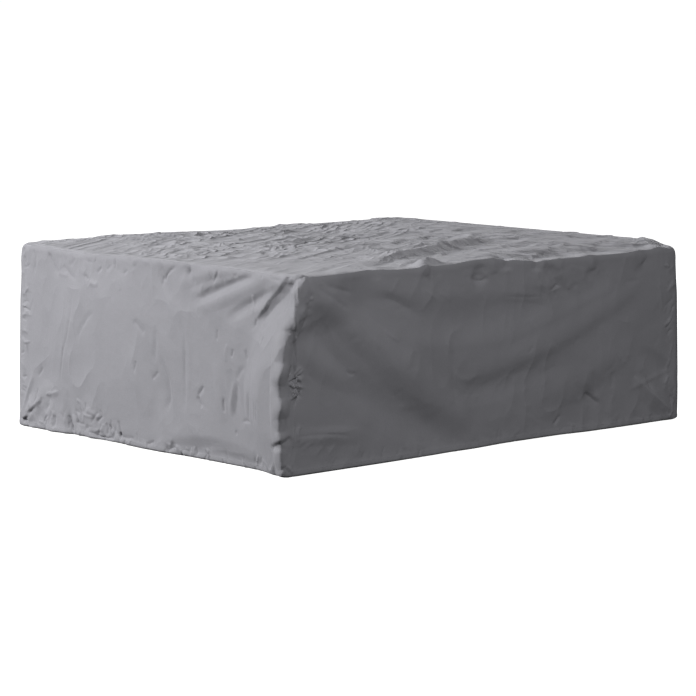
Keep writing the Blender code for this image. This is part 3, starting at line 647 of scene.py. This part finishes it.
# The sewing thread
THREAD_COLOUR = (0.10, 0.10, 0.108, 1.0)
THREAD_LIGHTER = 1.6
THREAD_ROUGHNESS = 0.7
THREAD_SPECULAR = 0.2
TWIST_SCALE = 900.0
TWIST_DEPTH = 0.0002


def smooth_step(value):
    value = np.clip(value, 0, 1)
    return value * value * (3 - 2 * value)


def between(three, place):
    """The value at each place from 0 to 1 of a curve through three given values."""
    start, middle, end = (np.asarray(value, float) for value in three)
    lead = 2 * middle - (start + end) / 2
    place = np.asarray(place)
    if start.ndim:
        place = place[:, None]
    return (1 - place) ** 2 * start + 2 * place * (1 - place) * lead + place**2 * end


def seam_stations(length, steps):
    """Places along a length, a coarse step apart, and a fine step apart close to both ends."""
    coarse, fine = steps
    walk = np.linspace(0, length, WALK_PLACES)
    from_end = np.minimum(walk, length - walk)
    step = coarse - (coarse - fine) * np.exp(-((from_end / SEAM_REACH) ** 2))
    passed = np.concatenate(((0,), np.cumsum(np.diff(walk) / step[1:])))
    count = int(round(passed[-1]))
    return np.interp(np.linspace(0, passed[-1], count + 1), passed, walk)


def half_across(wall):
    """Half the length of a wall's cloth, measured round its curled ends."""
    return abs(np.array(wall.along)) @ HALF_SIZE - CORNER_RADIUS + CURL_LENGTH


def across_of(wall, steps):
    """Places along a wall's cloth, from seam to seam."""
    half_length = half_across(wall) - SEAM_GAP / 2
    return seam_stations(2 * half_length, steps) - half_length


def up_of(steps):
    """Places up a wall's cloth, from the hem to the top seam."""
    return seam_stations(WALL_HEIGHT + EDGE_LENGTH - SEAM_GAP / 2, steps)


def slid(wall, across, up):
    """Places along a wall's cloth, moved on where the near corner's seam has slid."""
    if wall is FRONT:
        from_seam = half_across(wall) + across
    elif wall is LEFT:
        from_seam = half_across(wall) - across
    else:
        return across
    share = smooth_step(1 - from_seam / SLIDE_REACH)
    return across + share * np.interp(up, SLIDE_HEIGHTS, SLIDE_LENGTHS)


def wall_surface(wall, across, up):
    """Points on a wall of the plain box, and the way that the cloth faces there."""
    along = np.array(wall.along, float)
    outward = np.array(wall.outward, float)
    half_length = abs(along) @ HALF_SIZE
    depth = abs(outward) @ HALF_SIZE
    straight = half_length - CORNER_RADIUS
    turn = np.clip((abs(across) - straight) / CORNER_RADIUS, 0, math.pi / 2)
    past_corner = np.clip(abs(across) - straight - 2 * CURL_LENGTH, 0, None)
    side = np.sign(across)
    facing = np.cos(turn)[:, None] * outward + (side * np.sin(turn))[:, None] * along
    reach = side * np.minimum(abs(across), straight)
    plan = reach[:, None] * along + (depth - CORNER_RADIUS - past_corner)[:, None] * outward
    lean = np.clip(up - WALL_HEIGHT, 0, None) / EDGE_RADIUS
    plan = plan + (CORNER_RADIUS - EDGE_RADIUS * (1 - np.cos(lean)))[:, None] * facing
    height = np.minimum(up, WALL_HEIGHT) + EDGE_RADIUS * np.sin(lean)
    points = np.column_stack((plan, height))
    normals = np.column_stack((np.cos(lean)[:, None] * facing, np.sin(lean)))
    return points, normals


def top_surface(plan):
    """The same for points of the top, given where they lie in plan."""
    beyond = abs(plan) - (HALF_SIZE - CORNER_RADIUS)
    corner = np.linalg.norm(np.clip(beyond, 0, None), axis=1)
    inset = CORNER_RADIUS - corner - np.minimum(beyond.max(axis=1), 0)
    in_corner = (beyond > 0).all(axis=1)
    longer = np.eye(2)[beyond.argmax(axis=1)]
    facing = np.where(in_corner[:, None], np.clip(beyond, 0, None), longer) * np.sign(plan)
    facing /= np.linalg.norm(facing, axis=1)[:, None]
    lean = np.clip(1 - inset / EDGE_RADIUS, 0, 1)
    rise = np.sqrt(1 - lean**2)
    points = np.column_stack((plan, WALL_HEIGHT + EDGE_RADIUS * rise))
    normals = np.column_stack((lean[:, None] * facing, rise))
    return points, normals


def close_to(points, line, reach):
    """Which points lie in the box round a line."""
    low = line.min(axis=0) - reach
    high = line.max(axis=0) + reach
    return np.flatnonzero(((points > low) & (points < high)).all(axis=1))


def along_line(points, line):
    """Each point's place from 0 to 1 along a line, and its step away from the line."""
    spans = np.diff(line, axis=0)
    offsets = points[:, None] - line[:-1]
    along = np.clip((offsets * spans).sum(axis=2) / (spans**2).sum(axis=1), 0, 1)
    away = offsets - along[:, :, None] * spans
    gaps = np.linalg.norm(away, axis=2)
    nearest = gaps.argmin(axis=1)
    rows = np.arange(len(points))
    place = (nearest + along[rows, nearest]) / len(spans)
    return place, away[rows, nearest], spans[nearest]


def curve_of(fold, to_box, steps):
    """The line of a fold or a crease, in the box, as straight steps."""
    ends = [to_box(*end) for end in (fold.start, fold.bend, fold.end)]
    return between(ends, np.linspace(0, 1, steps + 1))


def add_fold(height, points, fold, to_box):
    """Adds a soft fold to the height of the cloth at each point."""
    line = curve_of(fold, to_box, FOLD_STEPS)
    near = close_to(points, line, max(fold.wide))
    if len(near):
        place, away, _ = along_line(points[near], line)
        share = np.linalg.norm(away, axis=1) / between(fold.wide, place)
        height[near] += between(fold.high, place) * np.clip(1 - share**2, 0, None) ** 2


def add_crease(height, points, normals, crease, to_box):
    """Adds a sharp crease to the height of the cloth at each point."""
    line = curve_of(crease, to_box, CREASE_STEPS)
    near = close_to(points, line, max(crease.left, crease.right))
    if len(near):
        place, away, ways = along_line(points[near], line)
        to_right = np.cross(ways, normals[near])
        wide = np.where((away * to_right).sum(axis=1) > 0, crease.right, crease.left)
        wide = wide * (1 + (crease.taper - 1) * place)
        share = np.clip(1 - np.linalg.norm(away, axis=1) / wide, 0, 1)
        run_out = np.clip(1 - (2 * place - 1) ** 4, 0, 1) ** CREASE_RUN_OUT
        height[near] += crease.high * run_out * share**crease.power


def strewn_creases(strewn):
    """The creases of one sprinkling, each with its own place, way, bow, width and height."""
    random = np.random.default_rng(strewn.seed)

    def about(least, past):
        return least + past * random.random()

    low, high = np.array(strewn.low), np.array(strewn.high)
    for _ in range(strewn.count):
        middle = low + random.random(2) * (high - low)
        turn = math.radians(strewn.turn + strewn.spread * random.normal())
        half = strewn.length * about(*STREWN_LENGTHS) / 2
        way = half * np.array((math.cos(turn), math.sin(turn)))
        bow = STREWN_BOW * random.normal() * np.array((-way[1], way[0]))
        wide = about(*STREWN_WIDTHS)
        size = strewn.height * about(*STREWN_HEIGHTS)
        if random.random() < strewn.troughs:
            size = -size
        yield Crease(middle - way, middle + bow, middle + way,
                     wide * strewn.right, wide * strewn.left, size)


def stepped(distance, width):
    """1 up to a width and 0 beyond it, with a short ramp between."""
    return smooth_step((width - distance) / STEP_WIDTH)


def wall_fullness(wall, across, up):
    """How far a wall's cloth stands out at its turned-up hem and at its lapped corner seams."""
    fullness = HEM_FULLNESS * stepped(up, HEM_DEPTH)
    fullness -= HEM_CURL_IN * np.clip(1 - up / HEM_CURL_UP, 0, 1) ** 2
    if wall in (LEFT, RIGHT):
        lap = LAP_HEIGHT * stepped(half_across(wall) - abs(across), LAP_WIDTH)
        fullness += lap * smooth_step((LAP_TOP - up) / LAP_FADE)
    return fullness


def in_metres(kind, rows):
    """Folds or creases from their rows of a table."""
    for row in rows:
        yield kind(*(np.array(entry) / PER_METRE for entry in row[:LENGTHS_IN_ROW]),
                   *row[LENGTHS_IN_ROW:])


def draped(points, normals):
    """The points of the plain box moved to where the hanging cloth is."""
    flare = HEM_FLARE * (0.5 - points[:, 2] / HEIGHT)
    moved = points.copy()
    moved[:, :2] += flare[:, None] * points[:, :2] / HALF_SIZE
    for push in PUSHES:
        away = np.linalg.norm((points - push.centre) / push.reach, axis=1)
        moved += smooth_step((1 - away) / (1 - PUSH_CORE))[:, None] * np.array(push.move)
    height = np.zeros(len(points))
    for face in FACES:
        for fold in in_metres(Fold, face.folds):
            add_fold(height, points, fold, face.place)
        for crease in in_metres(Crease, face.creases):
            add_crease(height, points, normals, crease, face.place)
        for strewn in face.strewn:
            for crease in strewn_creases(strewn):
                add_crease(height, points, normals, crease, face.place)
    for edge in EDGES:
        add_crease(height, points, normals, edge, lambda *place: place)
    return moved + height[:, None] * normals


def only(piece):
    bpy.ops.object.select_all(action="DESELECT")
    piece.select_set(True)
    bpy.context.view_layer.objects.active = piece


def close_seams(mesh, steps, columns, rows, laid, normals):
    """Turns the outer skin's rim the way that the two panels of a seam share."""
    points = np.empty(len(mesh.vertices) * 3)
    mesh.vertices.foreach_get("co", points)
    points = points.reshape(-1, 3)
    at_seam = (steps[:, 0] == 0) | (steps[:, 0] == columns) | (steps[:, 1] == rows)
    rim = np.flatnonzero(at_seam)
    points[len(laid) + rim] = laid[rim] + CLOTH * normals[rim]
    mesh.vertices.foreach_set("co", points.ravel())
    mesh.update()


def simplify_inside(piece, count):
    """Merges the small faces of the inner skin, which has the first vertices, into larger ones."""
    mesh = piece.data
    only(piece)
    bpy.ops.object.mode_set(mode="EDIT")
    bpy.ops.mesh.select_mode(type="VERT")
    bpy.ops.mesh.select_all(action="DESELECT")
    bpy.ops.object.mode_set(mode="OBJECT")
    inside = np.zeros(len(mesh.vertices), bool)
    inside[:count] = True
    mesh.vertices.foreach_set("select", inside)
    bpy.ops.object.mode_set(mode="EDIT")
    bpy.ops.mesh.select_less()
    bpy.ops.mesh.decimate(ratio=INSIDE_SHARE)
    bpy.ops.object.mode_set(mode="OBJECT")


def lay_cloth(piece_name, columns, rows, place, cut_place):
    """A grid of columns by rows, laid by place(column, row), thickened outwards to the cloth.

    Its map is where cut_place(column, row) puts the same grid in the cut, flat cloth.
    """
    bpy.ops.object.select_all(action="DESELECT")
    bpy.ops.mesh.primitive_grid_add(x_subdivisions=columns, y_subdivisions=rows, size=2)
    piece = bpy.context.object
    piece.name = piece.data.name = piece_name
    mesh = piece.data
    grid = np.empty(len(mesh.vertices) * 3)
    mesh.vertices.foreach_get("co", grid)
    steps = np.rint((grid.reshape(-1, 3)[:, :2] + 1) / 2 * (columns, rows)).astype(int)
    base, normals, fullness = place(steps[:, 0], steps[:, 1])
    laid = draped(base, normals) + fullness[:, None] * normals
    mesh.vertices.foreach_set("co", laid.ravel())
    corner = np.empty(len(mesh.loops), int)
    mesh.loops.foreach_get("vertex_index", corner)
    cut = cut_place(steps[:, 0], steps[:, 1])
    mesh.uv_layers[0].name = "cloth"
    mesh.uv_layers[0].data.foreach_set("uv", cut[corner].ravel())
    mesh.update()
    thickness = piece.modifiers.new("Cloth thickness", "SOLIDIFY")
    thickness.thickness = CLOTH
    thickness.offset = 1.0
    only(piece)
    bpy.ops.object.modifier_apply(modifier=thickness.name)
    close_seams(mesh, steps, columns, rows, laid, normals)
    simplify_inside(piece, len(laid))
    bpy.ops.object.shade_smooth_by_angle(angle=SHARP_ANGLE)
    return piece


def lay_wall(wall):
    across = across_of(wall, wall.steps)
    up = up_of(wall.steps)

    def place(column, row):
        fullness = wall_fullness(wall, across[column], up[row])
        return *wall_surface(wall, slid(wall, across[column], up[row]), up[row]), fullness

    def cut_place(column, row):
        return np.column_stack((across[column], up[row]))

    return lay_cloth(wall.piece, len(across) - 1, len(up) - 1, place, cut_place)


def seam_outline(wall, across):
    """The top's cut edge over one wall, in plan, just inside the seam."""
    seam = np.full(len(across), WALL_HEIGHT + EDGE_LENGTH + SEAM_GAP / 2)
    return wall_surface(wall, across, seam)[0][:, :2]


def lay_top():
    along_x = across_of(FRONT, TOP_STEPS)
    along_y = across_of(RIGHT, TOP_STEPS)
    low_edge = seam_outline(FRONT, along_x)
    high_edge = seam_outline(BACK, -along_x)
    left_edge = seam_outline(LEFT, -along_y)
    right_edge = seam_outline(RIGHT, along_y)
    low_edge[[0, -1]] = left_edge[0], right_edge[0]
    high_edge[[0, -1]] = left_edge[-1], right_edge[-1]
    share_x = (low_edge[:, 0] - low_edge[0, 0]) / np.ptp(low_edge[:, 0])
    share_y = (left_edge[:, 1] - left_edge[0, 1]) / np.ptp(left_edge[:, 1])

    def plan_of(column, row):
        """A point of the patch that spans the four edges."""
        u = share_x[column][:, None]
        v = share_y[row][:, None]
        plan = (1 - v) * low_edge[column] + v * high_edge[column]
        plan += (1 - u) * left_edge[row] + u * right_edge[row]
        plan -= (1 - v) * ((1 - u) * low_edge[0] + u * low_edge[-1])
        plan -= v * ((1 - u) * high_edge[0] + u * high_edge[-1])
        return plan

    def place(column, row):
        return *top_surface(plan_of(column, row)), np.zeros(len(column))

    return lay_cloth("top_cloth", len(along_x) - 1, len(along_y) - 1, place, plan_of)


def model_stitch():
    """One stitch of thread, lying along X, a unit long, wide and thick."""
    bpy.ops.object.select_all(action="DESELECT")
    bpy.ops.mesh.primitive_uv_sphere_add(segments=STITCH_SIDES, ring_count=STITCH_RINGS, radius=0.5)
    stitch = bpy.context.object
    bpy.ops.object.mode_set(mode="EDIT")
    bpy.ops.mesh.select_all(action="SELECT")
    bpy.ops.transform.rotate(value=math.pi / 2, orient_axis="Y", center_override=(0, 0, 0))
    bpy.ops.object.mode_set(mode="OBJECT")
    return stitch


def seam_lines(wall):
    """Rows of stitches on one wall: its hem, the top's edge over it, and its lapped ends."""
    half_length = half_across(wall)
    along = np.arange(-half_length + STITCH_PITCH, half_length - STITCH_PITCH, STITCH_PITCH)
    height = np.arange(HEM_DEPTH, WALL_HEIGHT + EDGE_LENGTH - STITCH_PITCH, STITCH_PITCH)
    step = STITCH_LENGTH / 2
    for up in (HEM_DEPTH - STITCH_INSET / 2, WALL_HEIGHT + EDGE_LENGTH + STITCH_INSET):
        level = np.full(len(along), up)
        yield (along - step, level), (along + step, level)
    if wall in (LEFT, RIGHT):
        for end in (-1, 1):
            across = np.full(len(height), end * (half_length - STITCH_INSET))
            yield (across, height - step), (across, height + step)


def on_cloth(wall, across, up):
    """Points on the outside of a wall's hanging cloth, and the way it faces there."""
    base, normals = wall_surface(wall, slid(wall, across, up), up)
    fullness = wall_fullness(wall, across, up) + CLOTH
    return draped(base, normals) + fullness[:, None] * normals, normals


def sew(wall, thread):
    """All the stitches of a wall in one piece, laid out from one modelled stitch."""
    pattern = model_stitch()
    shape = np.array([vertex.co for vertex in pattern.data.vertices])
    faces = [tuple(face.vertices) for face in pattern.data.polygons]
    bpy.data.objects.remove(pattern)
    corners = []
    for start, end in seam_lines(wall):
        first, facing = on_cloth(wall, *start)
        last, _ = on_cloth(wall, *end)
        along = last - first
        side = np.cross(facing, along)
        side *= STITCH_WIDTH / np.linalg.norm(side, axis=1)[:, None]
        thick = STITCH_WIDTH * facing
        laid = (first + last)[:, None] / 2 + shape[:, 0, None] * along[:, None]
        laid = laid + shape[:, 1, None] * side[:, None] + shape[:, 2, None] * thick[:, None]
        corners.append(laid.reshape(-1, 3))
    corners = np.concatenate(corners)
    count = len(corners) // len(shape)
    all_faces = [tuple(corner + len(shape) * turn for corner in face)
                 for turn in range(count) for face in faces]
    mesh = bpy.data.meshes.new(wall.piece.replace("cloth", "stitching"))
    mesh.from_pydata(corners.tolist(), [], all_faces)
    piece = bpy.data.objects.new(mesh.name, mesh)
    bpy.context.collection.objects.link(piece)
    only(piece)
    bpy.ops.object.shade_smooth()
    fit_piece(piece, thread)
    return piece


def link(tree, source, target):
    tree.links.new(source, target)


def noise(tree, source, scale, detail=2.0, roughness=0.5):
    """Soft noise over a source's places."""
    node = tree.nodes.new("ShaderNodeTexNoise")
    node.inputs["Scale"].default_value = scale
    node.inputs["Detail"].default_value = detail
    node.inputs["Roughness"].default_value = roughness
    link(tree, source, node.inputs["Vector"])
    return node.outputs["Fac"]


def ridges(tree, source, streaks):
    """Thin ridges over a source's places, stretched and turned into streaks."""
    stretch = tree.nodes.new("ShaderNodeMapping")
    stretch.vector_type = "TEXTURE"
    stretch.inputs["Rotation"].default_value = (0.0, 0.0, math.radians(streaks.turn))
    stretch.inputs["Scale"].default_value = (streaks.long, streaks.short, streaks.tall)
    link(tree, source, stretch.inputs["Vector"])
    node = tree.nodes.new("ShaderNodeTexNoise")
    node.noise_type = "RIDGED_MULTIFRACTAL"
    node.inputs["Scale"].default_value = 1.0
    node.inputs["Detail"].default_value = STREAK_DETAIL
    node.inputs["Roughness"].default_value = STREAK_ROUGHNESS
    node.inputs["Offset"].default_value = 1.0
    node.inputs["Gain"].default_value = 1.0
    link(tree, stretch.outputs["Vector"], node.inputs["Vector"])
    return node.outputs["Fac"]


def threads(tree, source, way):
    """The threads of the weave that lie side by side along one way of the cloth."""
    node = tree.nodes.new("ShaderNodeTexWave")
    node.bands_direction = way
    node.inputs["Scale"].default_value = WEAVE_SCALE
    node.inputs["Distortion"].default_value = WEAVE_WOBBLE
    node.inputs["Detail"].default_value = 1.0
    link(tree, source, node.inputs["Vector"])
    return node.outputs["Fac"]


def faded(tree, source, fade):
    """A source's value, run through a fade."""
    node = tree.nodes.new("ShaderNodeMapRange")
    node.inputs["From Min"].default_value = fade.start
    node.inputs["From Max"].default_value = fade.end
    node.inputs["To Min"].default_value = fade.low
    node.inputs["To Max"].default_value = fade.high
    link(tree, source, node.inputs["Value"])
    return node.outputs["Result"]


def combined(tree, kind, first, second):
    node = tree.nodes.new("ShaderNodeMath")
    node.operation = kind
    link(tree, first, node.inputs[0])
    if isinstance(second, float):
        node.inputs[1].default_value = second
    else:
        link(tree, second, node.inputs[1])
    return node.outputs["Value"]


def raised(tree, height, depth, strength=1.0, over=None):
    """The way a surface faces once a pattern stands out of it by a depth, over what is there."""
    node = tree.nodes.new("ShaderNodeBump")
    node.inputs["Distance"].default_value = depth
    node.inputs["Strength"].default_value = strength
    link(tree, height, node.inputs["Height"])
    if over:
        link(tree, over, node.inputs["Normal"])
    return node.outputs["Normal"]


def top_streaks(tree, place):
    """The fine streaks of the top: their height over the cloth, 0 on the walls."""
    split = tree.nodes.new("ShaderNodeSeparateXYZ")
    link(tree, place, split.inputs["Vector"])
    x, y = split.outputs["X"], split.outputs["Y"]

    def streaked(streaks):
        return combined(tree, "SUBTRACT", ridges(tree, place, streaks), STREAK_MEAN)

    leftness = combined(tree, "SUBTRACT", x, y)
    rising_share = combined(tree, "MULTIPLY", faded(tree, leftness, RISING_FADE),
                            faded(tree, leftness, RISING_LEFT_FADE))
    rising = combined(tree, "MULTIPLY", streaked(RISING_STREAKS), rising_share)
    level = combined(tree, "MULTIPLY", streaked(LEVEL_STREAKS), LEVEL_SHARE)
    on_right = combined(tree, "MULTIPLY", streaked(RIGHT_STREAKS), faded(tree, x, RIGHT_FADE))
    height = combined(tree, "ADD", combined(tree, "ADD", level, rising), on_right)

    far_x = combined(tree, "ABSOLUTE", x, 0.0)
    far_y = combined(tree, "ABSOLUTE", y, 0.0)
    on_top = combined(tree, "MULTIPLY", faded(tree, far_x, ENDS_FADE), faded(tree, far_y, SIDES_FADE))
    from_near = faded(tree, combined(tree, "ADD", x, y), NEAR_FADE)
    return combined(tree, "MULTIPLY", height, combined(tree, "MULTIPLY", on_top, from_near))


def new_material(name):
    material = bpy.data.materials.new(name)
    material.use_nodes = True
    tree = material.node_tree
    return material, tree, tree.nodes["Principled BSDF"]


def coated_cloth():
    """Grey polyester with a dull coating: a fine plain weave, faint mottling and small crinkles."""
    material, tree, shader = new_material("coated_cloth")
    shader.inputs["Sheen Weight"].default_value = CLOTH_SHEEN
    shader.inputs["Sheen Roughness"].default_value = CLOTH_SHEEN_ROUGHNESS
    shader.inputs["Specular IOR Level"].default_value = CLOTH_SPECULAR
    place = tree.nodes.new("ShaderNodeTexCoord").outputs["Object"]
    cut = tree.nodes.new("ShaderNodeUVMap")
    cut.uv_map = "cloth"

    weave = combined(tree, "MULTIPLY", threads(tree, cut.outputs["UV"], "X"),
                     threads(tree, cut.outputs["UV"], "Y"))
    mottle = faded(tree, noise(tree, place, MOTTLE_SCALE, MOTTLE_DETAIL), MOTTLE_TONE)
    grain = faded(tree, noise(tree, place, GRAIN_SCALE), GRAIN_TONE)
    tone = combined(tree, "MULTIPLY", combined(tree, "MULTIPLY", mottle, grain),
                    faded(tree, weave, WEAVE_TONE))
    tint = tree.nodes.new("ShaderNodeMix")
    tint.data_type = "RGBA"
    tint.blend_type = "MULTIPLY"
    tint.inputs["Factor"].default_value = 1.0
    tint.inputs["A"].default_value = CLOTH_COLOUR
    link(tree, tone, tint.inputs["B"])
    link(tree, tint.outputs["Result"], shader.inputs["Base Color"])
    dullness = noise(tree, place, ROUGHNESS_SCALE, ROUGHNESS_DETAIL)
    link(tree, faded(tree, dullness, CLOTH_ROUGHNESS), shader.inputs["Roughness"])

    calm = faded(tree, noise(tree, place, CALM_SCALE, CALM_DETAIL), CALM_FADE)
    crumples = combined(tree, "MULTIPLY", ridges(tree, place, CRUMPLES), calm)
    crinkles = noise(tree, place, CRINKLE_SCALE, CRINKLE_DETAIL, CRINKLE_ROUGHNESS)
    facing = raised(tree, top_streaks(tree, place), STREAK_DEPTH)
    facing = raised(tree, crumples, CRUMPLE_DEPTH, over=facing)
    facing = raised(tree, crinkles, CRINKLE_DEPTH, CRINKLE_STRENGTH, facing)
    facing = raised(tree, weave, WEAVE_DEPTH, WEAVE_STRENGTH, facing)
    link(tree, facing, shader.inputs["Normal"])
    return material


def sewing_thread():
    """Dull, dark grey sewing thread, with the light and dark of its twist."""
    material, tree, shader = new_material("sewing_thread")
    shader.inputs["Roughness"].default_value = THREAD_ROUGHNESS
    shader.inputs["Specular IOR Level"].default_value = THREAD_SPECULAR
    place = tree.nodes.new("ShaderNodeTexCoord").outputs["Object"]
    twist = noise(tree, place, TWIST_SCALE)
    shade = tree.nodes.new("ShaderNodeMix")
    shade.data_type = "RGBA"
    shade.inputs["A"].default_value = THREAD_COLOUR
    lighter = tuple(THREAD_LIGHTER * part for part in THREAD_COLOUR[:3])
    shade.inputs["B"].default_value = lighter + THREAD_COLOUR[3:]
    link(tree, twist, shade.inputs["Factor"])
    link(tree, shade.outputs["Result"], shader.inputs["Base Color"])
    link(tree, raised(tree, twist, TWIST_DEPTH), shader.inputs["Normal"])
    return material


def fit_piece(piece, material, *nodes):
    """Gives a piece its finish, and hangs it on the cover in place of its plain panel."""
    piece.data.materials.clear()
    piece.data.materials.append(material)
    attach(piece, "root")
    if nodes:
        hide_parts(*nodes)


def make_cover():
    cloth = coated_cloth()
    thread = sewing_thread()
    top = lay_top()
    fit_piece(top, cloth, "top_panel")
    for wall in WALLS:
        piece = lay_wall(wall)
        fit_piece(piece, cloth, wall.node)
        stitching = sew(wall, thread)
        long_way = np.ptp(across_of(wall, wall.steps))


def add_floor():
    bpy.ops.object.select_all(action="DESELECT")
    bpy.ops.mesh.primitive_plane_add(size=FLOOR_SIZE, location=(0, 0, CAD_BOX[0].z - FLOOR_DROP))
    floor = bpy.context.object
    floor.name = "pale_floor"
    material, _, shader = new_material("pale_floor")
    shader.inputs["Base Color"].default_value = FLOOR_COLOUR
    shader.inputs["Roughness"].default_value = FLOOR_ROUGHNESS
    shader.inputs["Specular IOR Level"].default_value = 0.0
    shader.inputs["Emission Color"].default_value = WHITE
    shader.inputs["Emission Strength"].default_value = FLOOR_GLOW
    floor.data.materials.append(material)
    floor.visible_diffuse = False
    floor.visible_glossy = False
    floor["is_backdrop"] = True


def add_softbox(softbox):
    way = Vector(softbox.way)
    centre = Vector((0.0, 0.0, HEIGHT / 2))
    bpy.ops.object.select_all(action="DESELECT")
    bpy.ops.object.light_add(type="AREA", location=centre + way.normalized() * softbox.distance)
    lamp = bpy.context.object
    lamp.name = softbox.name
    lamp.rotation_euler = way.to_track_quat("Z", "Y").to_euler()
    lamp.data.shape = "DISK"
    lamp.data.size = softbox.size
    lamp.data.energy = softbox.power


def add_room():
    world = bpy.data.worlds.new("soft_room")
    bpy.context.scene.world = world
    world.use_nodes = True
    tree = world.node_tree
    way = tree.nodes.new("ShaderNodeTexCoord")
    split = tree.nodes.new("ShaderNodeSeparateXYZ")
    link(tree, way.outputs["Generated"], split.inputs["Vector"])
    light = faded(tree, split.outputs["Z"], ROOM_LIGHT)
    link(tree, light, tree.nodes["Background"].inputs["Strength"])


def add_camera():
    forward = Vector((-math.sin(CAMERA_TURN), math.cos(CAMERA_TURN), 0.0))
    side = Vector((math.cos(CAMERA_TURN), math.sin(CAMERA_TURN), 0.0))
    place = -forward * CAMERA_BACK + side * CAMERA_SIDE + Vector((0.0, 0.0, CAMERA_HEIGHT))
    look = forward * math.cos(CAMERA_DIP) - Vector((0.0, 0.0, math.sin(CAMERA_DIP)))
    bpy.ops.object.select_all(action="DESELECT")
    bpy.ops.object.camera_add(location=place, rotation=look.to_track_quat("-Z", "Y").to_euler())
    camera = bpy.context.object
    camera.data.lens = CAMERA_LENS
    camera.data.sensor_width = CAMERA_SENSOR
    camera.data.clip_end = 2 * FLOOR_SIZE
    bpy.context.scene.camera = camera


def add_studio():
    add_floor()
    add_room()
    for softbox in SOFTBOXES:
        add_softbox(softbox)
    add_camera()
    bpy.context.scene.view_settings.view_transform = "Standard"


make_cover()
add_studio()
[[list(corner) for corner in box] for box in (CAD_BOX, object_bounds())]
